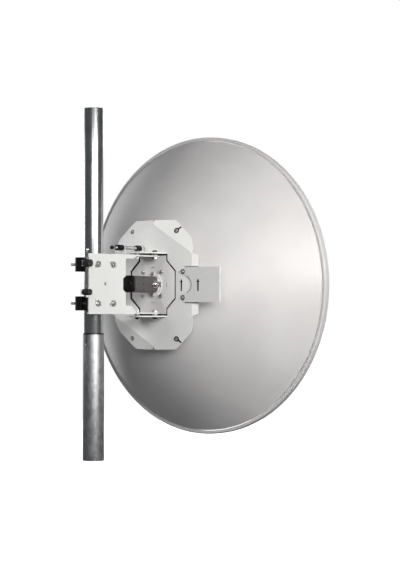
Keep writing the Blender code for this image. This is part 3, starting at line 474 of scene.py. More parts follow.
def prism(axis, origin, outline, stations):
    """The skin of an outline carried along an axis, drawn in by an inset at each place.

    The outline runs anticlockwise and is seen whole from its centre.
    """
    outline = np.asarray(outline)
    reach = np.linalg.norm(outline, axis=1).mean()
    stations = np.asarray(stations)
    scale = (1.0 - stations[:, 1] / reach)[:, None, None]
    cross = scale * outline[None, :, :]
    first, second, third = cross_axes(axis)
    grid = (np.asarray(origin) + cross[:, :, 0:1] * first + cross[:, :, 1:2] * second
            + stations[:, 0][:, None, None] * third)
    ends = np.asarray(origin) + np.outer([stations[0, 0], stations[-1, 0]], third)
    return skin(grid, ends)


def box_skin(low, high):
    """A closed box between two corners, for ribs, slots and marks."""
    far = np.array([(0, 0, 0), (1, 0, 0), (1, 1, 0), (0, 1, 0)], dtype=bool)
    grid = np.stack([np.where(far, high, low), np.where(far | (False, False, True), high, low)])
    return skin(grid, grid.mean(axis=1))


def fill_mesh(name, skins):
    """Puts one or more closed skins into a new mesh, smooth but for its sharp edges."""
    points = np.vstack([part[0] for part in skins])
    shifts = np.cumsum([0] + [len(part[0]) for part in skins[:-1]])
    corners = np.concatenate([part[1] + shift for part, shift in zip(skins, shifts)])
    sizes = np.concatenate([part[2] for part in skins])
    mesh = bpy.data.meshes.new(name)
    mesh.vertices.add(len(points))
    mesh.vertices.foreach_set("co", points.astype(np.float32).reshape(-1))
    mesh.loops.add(len(corners))
    mesh.loops.foreach_set("vertex_index", corners.astype(np.int32))
    mesh.polygons.add(len(sizes))
    mesh.polygons.foreach_set("loop_start", (np.cumsum(sizes) - sizes).astype(np.int32))
    mesh.update(calc_edges=True)
    mesh.validate()
    mesh.shade_smooth()
    mesh.set_sharp_from_angle(angle=EDGE_ANGLE)
    return mesh


def put_in(name, mesh, finish):
    """Puts a mesh in the scene in its finish."""
    mesh.materials.append(FINISHES[finish])
    piece = bpy.data.objects.new(name, mesh)
    bpy.context.scene.collection.objects.link(piece)
    return piece


def hang(piece, body, nodes):
    """Rides a piece on its body and the nodes it stands for."""
    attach(piece, body)
    if nodes:
        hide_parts(*nodes)


def make_piece(name, skins, finish, body, *nodes):
    """Makes a piece of one or more closed skins, dresses it and hangs it on its body."""
    piece = put_in(name, fill_mesh(name, skins), finish)
    hang(piece, body, nodes)
    return piece


def folded_copy(name, node, finish, body, width, segments=2):
    """A node's own shape, merged into whole faces, with its edges eased by a small bevel."""
    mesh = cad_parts[node].data.copy()
    mesh.name = name
    work = bmesh.new()
    work.from_mesh(mesh)
    bmesh.ops.remove_doubles(work, verts=work.verts, dist=MERGE)
    bmesh.ops.dissolve_limit(work, angle_limit=FLAT_ANGLE, verts=work.verts, edges=work.edges)
    work.to_mesh(mesh)
    work.free()
    mesh.materials.clear()
    mesh.shade_smooth()
    mesh.set_sharp_from_angle(angle=EDGE_ANGLE)
    piece = put_in(name, mesh, finish)
    ease = piece.modifiers.new("eased_edges", "BEVEL")
    ease.width = width
    ease.segments = segments
    ease.limit_method = "ANGLE"
    ease.angle_limit = EDGE_ANGLE
    ease.use_clamp_overlap = True
    ease.harden_normals = False
    hang(piece, body, (node,))
    return piece


class ANTENNA_PG_sizes(bpy.types.PropertyGroup):
    """Sizes that a user may change."""

    sheet_edge: bpy.props.FloatProperty(
        name="Sheet edge", description="Rounding of the sheet metal's edges", default=0.0006,
        min=0.0, subtype="DISTANCE", unit="LENGTH")
    casting_edge: bpy.props.FloatProperty(
        name="Casting edge", description="Rounding of the rear jaws' edges", default=0.0022,
        min=0.0, subtype="DISTANCE", unit="LENGTH")
    front_casting_edge: bpy.props.FloatProperty(
        name="Front casting edge", description="Rounding of the front jaws' edges",
        default=0.0012, min=0.0, subtype="DISTANCE", unit="LENGTH")


class ANTENNA_PG_stage(bpy.types.PropertyGroup):
    """Light and floor of the stage."""

    key_power: bpy.props.FloatProperty(
        name="Key light", description="Power of the soft light at the camera's right",
        default=20.5, min=0.0, subtype="POWER", unit="POWER")
    key_spread: bpy.props.FloatProperty(
        name="Key spread", description="Full angle of the key light's beam, in degrees",
        default=78.0, min=1.0, max=180.0)
    fill_power: bpy.props.FloatProperty(
        name="Fill light", description="Power of the light above the camera's left",
        default=48.0, min=0.0, subtype="POWER", unit="POWER")
    strip_power: bpy.props.FloatProperty(
        name="Strip light", description="Power of the light that edges the mast from the far left",
        default=15.0, min=0.0, subtype="POWER", unit="POWER")
    plate_power: bpy.props.FloatProperty(
        name="Plate light", description="Power of the high light on the back plate and the hub",
        default=55.0, min=0.0, subtype="POWER", unit="POWER")
    backdrop_power: bpy.props.FloatProperty(
        name="Backdrop", description="Power of the light backdrop behind the dish", default=80.0,
        min=0.0, subtype="POWER", unit="POWER")
    ambient: bpy.props.FloatProperty(
        name="Ambient", description="Strength of the even light from all round", default=0.11,
        min=0.0, subtype="FACTOR")
    floor_colour: bpy.props.FloatVectorProperty(
        name="Floor colour", description="Colour of the plain floor", size=3,
        default=linear("#f4f4f3"), min=0.0, max=1.0, subtype="COLOR")


def area_light(name, power):
    """A soft rectangular lamp that faces a point."""
    place, target, size, colour = LAMPS[name]
    lamp = bpy.data.lights.new(name, "AREA")
    lamp.shape = "RECTANGLE"
    lamp.size, lamp.size_y = size
    lamp.energy = power
    lamp.color = linear(colour)
    body = bpy.data.objects.new(name, lamp)
    body.location = place
    body.rotation_euler = (Vector(target) - Vector(place)).to_track_quat("-Z", "Y").to_euler()
    bpy.context.scene.collection.objects.link(body)
    return body


class ANTENNA_OT_stage(bpy.types.Operator):
    """Sets the floor, the soft studio light, the white surroundings and the camera."""

    bl_idname = "antenna.stage"
    bl_label = "Stage"

    def execute(self, context):
        scene = context.scene
        look = scene.antenna_stage
        scene.view_settings.view_transform = "Standard"
        lay_floor(look)
        light_world(look)
        key = area_light("key_light", look.key_power)
        key.data.spread = math.radians(look.key_spread)
        area_light("fill_light", look.fill_power)
        area_light("backdrop_light", look.backdrop_power)
        area_light("strip_light", look.strip_power)
        place_camera(scene)
        return {"FINISHED"}


def lay_floor(look):
    """A wide flat disc that only the camera sees, so it lights nothing.

    It lies 0.1 m under the mast's cut foot, clear of the rim when the dish looks down.
    """
    angle = np.arange(FLOOR_SIDES) * 2.0 * math.pi / FLOOR_SIDES
    disc = np.stack([FLOOR_REACH * np.cos(angle), FLOOR_REACH * np.sin(angle),
                     np.full(FLOOR_SIDES, FLOOR_Z)], axis=1)
    mesh = bpy.data.meshes.new("floor")
    mesh.from_pydata(disc.tolist(), [], [tuple(range(FLOOR_SIDES))])
    floor = bpy.data.objects.new("floor", mesh)
    bpy.context.scene.collection.objects.link(floor)
    material, _, shader, _ = start("plain_pale_floor")
    shader.inputs["Base Color"].default_value = tuple(look.floor_colour) + (1.0,)
    shader.inputs["Roughness"].default_value = 0.8
    shader.inputs["Specular IOR Level"].default_value = 0.0
    shader.inputs["Emission Color"].default_value = (1.0, 1.0, 1.0, 1.0)
    shader.inputs["Emission Strength"].default_value = 1.0
    mesh.materials.append(material)
    floor.visible_diffuse = False
    floor.visible_glossy = False


def light_world(look):
    """White surroundings for the eye and a weaker grey for the light that they give."""
    world = bpy.data.worlds.new("studio")
    world.use_nodes = True
    tree = world.node_tree
    tree.nodes.clear()
    path = add(tree, "ShaderNodeLightPath")
    seen = add(tree, "ShaderNodeBackground", {"Color": (1.0, 1.0, 1.0, 1.0), "Strength": 1.0})
    given = add(tree, "ShaderNodeBackground", {"Color": rgba("#f2f5f8"), "Strength": look.ambient})
    both = add(tree, "ShaderNodeMixShader", None,
               {0: (path, "Is Camera Ray"), 1: (given, "Background"), 2: (seen, "Background")})
    add(tree, "ShaderNodeOutputWorld", None, {"Surface": (both, "Shader")})
    bpy.context.scene.world = world


def place_camera(scene):
    """The photograph's view: 38.5 degrees round from behind the dish, almost level."""
    camera = bpy.data.cameras.new("camera")
    camera.sensor_fit = "VERTICAL"
    camera.sensor_height = SENSOR_HEIGHT
    camera.lens = LENS
    body = bpy.data.objects.new("camera", camera)
    body.location = CAMERA_PLACE
    body.rotation_euler = [math.radians(angle) for angle in CAMERA_TURN]
    scene.collection.objects.link(body)
    scene.camera = body


class ANTENNA_OT_finishes(bpy.types.Operator):
    """Makes every finish and gives each carried-over node its own."""

    bl_idname = "antenna.finishes"
    bl_label = "Finishes"

    def execute(self, context):
        make_finishes()
        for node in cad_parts.values():
            for slot in node.material_slots:
                slot.material = FINISHES[slot.material.name.split(".")[0]]
        return {"FINISHED"}


class ANTENNA_OT_mast(bpy.types.Operator):
    """The two mast tubes with eased rims, the dark ring at their seam and the pin hole."""

    bl_idname = "antenna.mast"
    bl_label = "Mast"

    def execute(self, context):
        foot = (0.0, MAST_Y, 0.0)
        upper = tube("Z", foot, UPPER_FOOT, 0.66, MAST_TOP, UPPER_RADIUS - UPPER_WALL,
                     UPPER_RADIUS, RIM_EASE, 144)
        make_piece("upper_tube", [upper], "galvanised_upper", "mast", "mast_upper_tube")
        lower = tube("Z", foot, 0.0, 0.2, SLEEVE_TOP, SLEEVE_BORE, SLEEVE_RADIUS, RIM_EASE, 144)
        sleeve = make_piece("lower_tube", [lower], "galvanised_lower", "mast", "mast_lower_tube")
        seam = tube("Z", foot, 0.3878, 0.3895, 0.3920, 0.0302, 0.0316, 0.0004, 96)
        make_piece("seam_ring", [seam], "black_plastic", "mast")
        hole = turned("Y", (0.0, MAST_Y, PIN_HOLE_Z),
                      rows([(-0.040, PIN_HOLE_RADIUS), (-0.0302, PIN_HOLE_RADIUS)]), 32)
        cut_from(sleeve, hole)
        return {"FINISHED"}


def cut_from(piece, hole):
    """Cuts a closed skin out of a piece; the cutter itself is never rendered."""
    mesh = fill_mesh(piece.name + "_cutter", [hole])
    cutter = bpy.data.objects.new(mesh.name, mesh)
    cutter.hide_render = True
    cutter.display_type = "WIRE"
    bpy.context.scene.collection.objects.link(cutter)
    step = piece.modifiers.new("cut", "BOOLEAN")
    step.operation = "DIFFERENCE"
    step.solver = "EXACT"
    step.object = cutter


class ANTENNA_OT_sheet_metal(bpy.types.Operator):
    """The folded and cut plates with eased edges, the hub with its raised centre, and a black ring
    of painted shadow round the opening.
    """

    bl_idname = "antenna.sheet_metal"
    bl_label = "Sheet metal"

    def execute(self, context):
        edge = context.scene.antenna_sizes.sheet_edge
        for name, node, body in (("bracket", "web_bracket", "bracket"),
                                 ("clamp_plate", "clamp_plate", "mast"),
                                 ("back_plate", "back_plate", "dish"),
                                 ("radio_plate", "radio_plate", "dish")):
            folded_copy(name + "_surface", node, "white_paint", body, edge)
        corner = np.radians(np.arange(8) * 45.0 + 22.5)
        octagon = HUB_RADIUS * np.stack([np.cos(corner), np.sin(corner)], axis=1)
        hub = prism("Y", MOUNT, octagon,
                    [(0.2907, 0.0005), (0.2911, 0.0), (0.2918, 0.0), (0.2922, 0.0005)])
        quarter = np.array(ISLAND_CORNERS)
        half = np.vstack([quarter, quarter[::-1] * (-1.0, 1.0)])
        outline = np.vstack([half, -half])
        island = prism("Y", MOUNT, outline, [(0.2862, 0.0005), (0.2865, 0.0), (0.2909, 0.0)])
        make_piece("hub_plate_surface", [hub, island], "dish_paint", "dish", "hub_plate")
        # A black ring behind the opening's edge paints the shadow in the gap between the back
        # plate and the hub's raised centre.
        gap_shade = prism("Y", MOUNT, outline * GAP_SHADE_SHARE, [(0.2873, 0.0), (0.2908, 0.0)])
        make_piece("hub_painted_shadow_gap", [gap_shade], "black_plastic", "dish")
        return {"FINISHED"}


class ANTENNA_OT_jaws(bpy.types.Operator):
    """The four cast clamp jaws with their rounded edges."""

    bl_idname = "antenna.jaws"
    bl_label = "Clamp jaws"

    def execute(self, context):
        sizes = context.scene.antenna_sizes
        for part, edge in (("back", sizes.casting_edge), ("front", sizes.front_casting_edge)):
            for level in ("lower", "upper"):
                node = "jaw_" + part + "_" + level
                folded_copy(node + "_surface", node, "black_casting", "mast", edge, 3)
        return {"FINISHED"}


class ANTENNA_OT_clamp_bolts(bpy.types.Operator):
    """The four long bolts: chamfered head, washer, shank and threaded end in one skin."""

    bl_idname = "antenna.clamp_bolts"
    bl_label = "Clamp bolts"

    def execute(self, context):
        number = 0
        for up in (-CLAMP_BOLT_Z, CLAMP_BOLT_Z):
            for side in (-CLAMP_BOLT_Y, CLAMP_BOLT_Y):
                number += 1
                bolt = turned("X", at(0.0, side, up), self.profile(), 72, turn=0.3 * number)
                make_piece("clamp_bolt_surface_" + str(number), [bolt], "steel", "mast",
                           "clamp_bolt_" + str(number))
        return {"FINISHED"}

    def profile(self):
        """Rows from the threaded end to the head."""
        shank = THREAD_8[0]
        seat = BRACKET_FACE
        outside = seat + 0.0020
        end = rows([(-0.0600, 0.0030), (-0.0592, shank - 0.0003)])
        stud = thread_rows(-0.0590, -0.0440, *THREAD_8)
        plain = rows([(-0.0434, shank), (seat - 0.0002, shank)])
        washer = rows(soft([(seat, shank + 0.0002), (seat, 0.0100), (outside, 0.0100),
                            (outside, 0.0074)], 0.0005))
        head = hexagon_rows(outside, seat + 0.0085, 0.0069, 0.0035)[1:]
        cup = rows([(seat + 0.0078, 0.0028)])
        return np.vstack([end, stud, plain, washer, head, cup])


def joint_bolt_rows(radius):
    """Heights above the mount's centre: nut, shank, collar between the plates, washer."""
    collar = radius + 0.004
    nut = hexagon_rows(0.0814, 0.0879, 1.6 * radius, radius * 0.9)
    shank = rows([(0.0880, radius), (0.0925, radius)])
    spacer = rows(soft([(0.0925, radius), (0.0925, collar), (0.0982, collar),
                        (0.0982, radius)], 0.0005))
    upper = rows([(0.1027, radius)])
    washer = rows(soft([(0.1028, radius), (0.1028, collar + 0.0005), (0.1044, collar + 0.0005),
                        (0.1044, radius)], 0.0004))
    return np.vstack([nut[1:], shank, spacer, upper, washer])


def dome_rows(radius):
    """A low round head over the washer: a quarter of an ellipse on a short band."""
    foot, band, rise, wide = 0.1045, 0.0012, 0.0040, 1.62 * radius
    t = np.linspace(0.0, 0.5 * math.pi, 9)[:-1]
    dome = np.stack([foot + band + rise * np.sin(t), wide * np.cos(t)], axis=1)
    return rows(np.vstack([[(foot, wide)], dome]))


class ANTENNA_OT_turning_bolts(bpy.types.Operator):
    """The pivot and lock bolts of the sideways turn, with black domed heads."""

    bl_idname = "antenna.turning_bolts"
    bl_label = "Turning bolts"

    def execute(self, context):
        for kind, y, radius in (("pivot", 0.267, THREAD_10[0]), ("lock_bolt", 0.180, THREAD_8[0])):
            tables = joint_bolt_rows(radius), dome_rows(radius)
            for label in ("lower", "upper"):
                node = "azimuth_" + kind + "_" + label
                shank, head = [turned("Z", at(TURN_X, y),
                                      flipped(table) if label == "lower" else table, 60)
                               for table in tables]
                make_piece(node + "_shank", [shank], "steel", "bracket", node)
                make_piece(node + "_head", [head], "black_oxide", "bracket", node)
        return {"FINISHED"}


class ANTENNA_OT_elevation_screw(bpy.types.Operator):
    """The upright threaded rod, its two turned barrels and its nuts."""

    bl_idname = "antenna.elevation_screw"
    bl_label = "Elevation screw"

    def execute(self, context):
        origin = at(SCREW_X, SCREW_Y)
        table = np.vstack([
            rows([(-0.0433, 0.0030), (-0.0426, SMALL_BORE)]),
            hexagon_rows(-0.0403, -0.0353, SMALL_FLAT, SMALL_BORE),
            thread_rows(-0.0345, 0.1002, *THREAD_8),
            hexagon_rows(0.1010, 0.1050, SMALL_FLAT, SMALL_BORE)[:-1]])
        make_piece("elevation_rod_thread", [turned("Z", origin, table, 48)], "zinc",
                   "elevation_screw", "elevation_rod")
        self.barrel("lower", -0.0255, 0.0095, CLAMP_PLATE_FACE, 0.0726, "elevation_screw")
        self.barrel("upper", 0.062, 0.0115, BRACKET_FACE, 0.0735, "elevation_nuts")
        for label, low in (("upper", 0.0738), ("lower", 0.0452)):
            nut = turned("Z", origin, hexagon_rows(low, low + 0.005, SMALL_FLAT, 0.0052), 48,
                         solid=False)
            make_piece("elevation_nut_surface_" + label, [nut], "dark_steel", "elevation_nuts",
                       "elevation_nut_" + label)
        return {"FINISHED"}

    def barrel(self, label, up, radius, seat, end, body):
        """A turned barrel on a stub, with eased ends and a shallow dish in its face."""
        foot = seat - 0.0055
        dip = end - 0.0012
        profile = capped(FINE_CORE, (foot, THREAD_8[0]), (seat, THREAD_8[0]), (seat, radius),
                         (end, radius), (end, 0.55 * radius), (dip, 0.50 * radius))
        make_piece("elevation_barrel_surface_" + label,
                   [spun("X", at(0.0, SCREW_Y, up), profile, 0.0012, 72, 5)], "dark_steel", body,
                   "elevation_" + label + "_barrel")


class ANTENNA_OT_azimuth_screw(bpy.types.Operator):
    """The level screw that turns the dish: ball end, thread and four nuts."""

    bl_idname = "antenna.azimuth_screw"
    bl_label = "Azimuth screw"

    def execute(self, context):
        origin = at(-0.032, 0.0, 0.1165)
        rod = np.vstack([
            rows([(0.1275, 0.0034), (0.1368, 0.0034)]),
            thread_rows(0.1372, 0.2772, *THREAD_10),
            rows([(0.2780, 0.0040)])])
        make_piece("azimuth_rod_thread", [turned("Y", origin, rod, 48)], "zinc",
                   "azimuth_screw", "azimuth_rod")
        centre, radius = 0.1230, 0.0066
        t = np.linspace(0.0, math.pi, 17)[1:-1]
        ball = np.stack([centre - radius * np.cos(t), radius * np.sin(t)], axis=1)
        make_piece("azimuth_rod_ball", [turned("Y", origin, rows(ball), 40)], "black_oxide",
                   "azimuth_screw", "azimuth_rod")
        for nut, low, high, finish, body in (
                ("adjusting", 0.1442, 0.1742, "black_oxide", "bracket"),
                ("counter", 0.1778, 0.1848, "zinc", "bracket"),
                ("inner", 0.2375, 0.2595, "black_oxide", "azimuth_screw"),
                ("end", 0.2665, 0.2725, "zinc", "azimuth_screw")):
            node = "azimuth_" + nut + "_nut"
            table = hexagon_rows(low, high, 0.00814, THREAD_10[0] + 0.0003)
            make_piece(node + "_surface",
                       [turned("Y", origin, table, 72, solid=False, turn=0.26)], finish, body,
                       node)
        return {"FINISHED"}


def cut_outline(half_width, half_height, cut, ease=0.0012):
    """A rectangle with cut and slightly rounded corners, anticlockwise about the aim."""
    inner = half_width - cut
    low = half_height - cut
    half = np.array([(half_width, low), (inner, half_height), (-inner, half_height),
                     (-half_width, low)])
    corners = np.vstack([half, -half])
    closed = np.vstack([corners[-1:], corners, corners[:1]])
    return soft(closed, ease)[1:-1][::-1, ::-1]


def hexagon_bolt(axis, seat, flat, washer, tall, turn=0.0):
    """A bolt head on its washer; the axis runs into what it clamps and the head stands back."""
    table = np.vstack([
        hexagon_rows(-tall, -0.0010, flat, 0.0005)[:-1],
        rows(soft([(-0.0010, flat), (-0.0010, washer), (0.0002, washer), (0.0002, 0.0005)],
                  0.0003))])
    return turned(axis, seat, table, 48, turn=turn)


class ANTENNA_OT_feed_unit(bpy.types.Operator):
    """The cast housing behind the dish, its black cap, flange, connector and screws."""

    bl_idname = "antenna.feed_unit"
    bl_label = "Feed unit"

    def execute(self, context):
        flange = capped(CORE, (0.2790, 0.0280), (0.2836, 0.0280), (0.2836, 0.0340),
                        (0.2828, 0.0378), (0.2864, 0.0378))
        make_piece("feed_flange_surface", [spun("Y", MOUNT, flange, 0.0010, 120, 5)],
                   "white_paint", "dish", "feed_flange")
        body = prism("Y", at(0.0, 0.0, 0.0011), cut_outline(0.0255, 0.0262, 0.0065),
                     [(0.1708, 0.0010), (0.1716, 0.0), (0.2745, 0.0), (0.2789, 0.0012)])
        ribs = [box_skin(at(0.0, 0.1780, low), at(0.0262, 0.2700, low + 0.0022))
                for low in (-0.0156, 0.0164)]
        make_piece("feed_housing_surface", [body] + ribs, "grey_casting", "dish",
                   "feed_housing")
        middle = at(0.0, 0.0, 0.0030)
        cap = prism("Y", middle, cut_outline(0.0235, 0.0258, 0.0080, 0.0025),
                    [(0.1655, 0.0022), (0.1661, 0.0008), (0.1671, 0.0), (0.1698, 0.0),
                     (0.1705, 0.0006)])
        button = spun("Y", middle, capped(CORE, (0.1640, 0.0100), (0.1660, 0.0115)), 0.0006,
                      60)
        make_piece("feed_end_cap_surface", [cap, button], "black_plastic", "dish",
                   "feed_end_cap")
        self.connector()
        self.screws()
        self.marks()
        return {"FINISHED"}

    def connector(self):
        """The round cable connector: flange, coarse thread and open mouth with its pin."""
        base = 0.0258
        origin = at(0.0, 0.2595, 0.0010)
        radius, pitch, _ = CONNECTOR_THREAD
        table = np.vstack([
            rows(soft([(base, CORE), (base, 0.0118), (base + 0.0040, 0.0118),
                       (base + 0.0040, radius + 0.0001)], 0.0006)),
            thread_rows(base + 0.0046, base + 0.0160, *CONNECTOR_THREAD),
            rows(soft([(base + 0.0164, 0.0098), (base + 0.0172, 0.0088),
                       (base + 0.0205, 0.0088), (base + 0.0205, 0.0066),
                       (base + 0.0130, 0.0062), (base + 0.0130, CORE)], 0.0004))])
        pin = spun("X", origin, [(base + 0.0120, CORE), (base + 0.0120, 0.0016),
                                 (base + 0.0190, 0.0014), (base + 0.0195, CORE)], 0.0003, 24)
        make_piece("cable_connector_surface", [turned("X", origin, table, 60, pitch=pitch), pin],
                   "nickel", "dish", "cable_connector")

    def screws(self):
        """Small screws on the housing's side and six bolts round the flange."""
        head = capped(FINE_CORE, (0.0253, 0.0026), (0.0270, 0.0024), (0.0270, 0.0012),
                      (0.0263, 0.0010))
        make_piece("housing_screws",
                   [spun("X", at(0.0, 0.2087, up), head, 0.0003, 32)
                    for up in (-0.0151, 0.0023, 0.0197)], "dark_steel", "dish")
        around = ((-0.041, 0.0400), (0.035, 0.0410), (-0.043, -0.0350), (0.033, -0.0365))
        bolts = [hexagon_bolt("Y", at(side, 0.2862, up), 0.0052, 0.0068, 0.0046)
                 for side, up in around]
        bolts += [hexagon_bolt("Y", at(0.0, 0.2836, up), 0.0052, 0.0066, 0.0046)
                  for up in (0.0345, -0.0330)]
        make_piece("flange_bolts", bolts, "steel", "dish")

    def marks(self):
        """Four short bars on the hub's raised centre and two black boxes of painted shade beside
        the flange.
        """
        reach, long, tall = 0.0565, 0.0065, 0.0008
        bars = [box_skin(at(side - wide, 0.2856, up - high), at(side + wide, 0.2864, up + high))
                for side, up, wide, high in ((0.0, reach, long, tall), (0.0, -reach, long, tall),
                                             (reach, 0.0, tall, long), (-reach, 0.0, tall, long))]
        make_piece("hub_plate_marks", bars, "zinc", "dish")
        # Two black boxes beside the flange paint the dark shade of the gaps there.
        slots = [box_skin(at(0.0330, 0.2822, up - 0.0024), at(0.0372, 0.2840, up + 0.0024))
                 for up in (0.0052, -0.0036)]
        make_piece("flange_painted_shade_gaps", slots, "black_plastic", "dish")


class ANTENNA_OT_reflector(bpy.types.Operator):
    """The spun bowl, its rim, the hub ring and the posts.

    The bowl's height grows as the square of its radius, has one low bead and curls forward
    into a groove. The rim is a band with a round back edge.
    """

    bl_idname = "antenna.reflector"
    bl_label = "Reflector"

    def execute(self, context):
        radius = np.concatenate([np.linspace(0.024, 0.440, 50), np.linspace(0.4425, 0.4740, 26)])
        height = BOWL_FOOT + radius * radius / BOWL_FOUR_F
        bead = 0.0004 * np.exp(-((radius - 0.4660) / 0.0022) ** 2)
        curl = np.array([(0.5415, 0.4757), (0.5432, 0.4768), (0.5490, 0.4772)])
        back = np.vstack([np.stack([height - bead, radius], axis=1), curl])
        front = back[::-1] + np.array([SHEET, -0.0008])
        bowl = turned("Y", MOUNT, rows(np.vstack([back, front])), 256, solid=False)
        make_piece("bowl_surface", [bowl], "dish_paint", "dish", "reflector")
        inner = RIM_RADIUS - SHEET
        section = soft([(0.5570, RIM_RADIUS), (0.569, RIM_RADIUS), (0.569, 0.480),
                        (0.567, 0.480), (0.567, inner), (0.5465, inner), (0.5465, 0.4806),
                        (0.5500, 0.4800), (0.5490, 0.4784), (0.5445, 0.4790),
                        (0.5445, RIM_RADIUS), (0.5570, RIM_RADIUS)], 0.0052, 6)
        band = turned("Y", MOUNT, rows(section[:-1]), 256, solid=False)
        make_piece("rim_band_surface", [band], "dish_paint", "dish", "rim_band")
        ring = tube("Y", MOUNT, BOWL_FOOT, 0.2960, 0.2997, 0.085, 0.100, RIM_EASE, 128)
        make_piece("hub_ring_surface", [ring], "white_paint", "dish", "hub_ring")
        self.posts()
        return {"FINISHED"}

    def posts(self):
        """Four turned posts between the flaps and the bowl, with a waist between their ends."""
        collar, waist, long = 0.0060, 0.0052, 0.004
        for number in range(1, 5):
            node = "standoff_" + str(number)
            low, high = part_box(node)
            middle = (0.5 * (low[0] + high[0]), 0.0, 0.5 * (low[2] + high[2]))
            near, far = low[1] + long, high[1] - long
            profile = capped(CORE, (low[1], collar), (near, collar), (near, waist),
                             (far, waist), (far, collar), (high[1], collar))
            make_piece(node + "_surface", [spun("Y", middle, profile, 0.0005, 36)], "zinc",
                       "dish", node)


class ANTENNA_OT_feed_tube(bpy.types.Operator):
    """The feed tube and its cap in front of the bowl, with fine rings on the cap.

    The cap's back is a cone with six cosine ripples.
    """

    bl_idname = "antenna.feed_tube"
    bl_label = "Feed tube"

    def execute(self, context):
        stem = 0.018
        pipe = spun("Y", MOUNT, capped(CORE, (BOWL_FOOT, stem), (FEED_END, stem)), RIM_EASE, 72)
        make_piece("feed_tube_surface", [pipe], "aluminium", "dish", "feed_tube")
        foot = FEED_END + 0.0003
        cone = np.linspace(0.0, 1.0, 60)
        ripple = 0.0010 * (0.5 - 0.5 * np.cos(cone * 12.0 * math.pi))
        face = np.stack([foot + 0.0237 * cone + ripple, stem + 0.032 * cone], axis=1)
        front = FEED_END + 0.0340
        cap = soft([(FEED_END + 0.0240, 0.0500), (FEED_END + 0.0320, 0.0520), (front, 0.0490),
                    (front, CORE)], 0.0010)
        table = rows(np.vstack([[(foot, CORE)], face, cap]))
        make_piece("sub_reflector_surface", [turned("Y", MOUNT, table, 120)], "aluminium",
                   "dish", "sub_reflector")
        return {"FINISHED"}


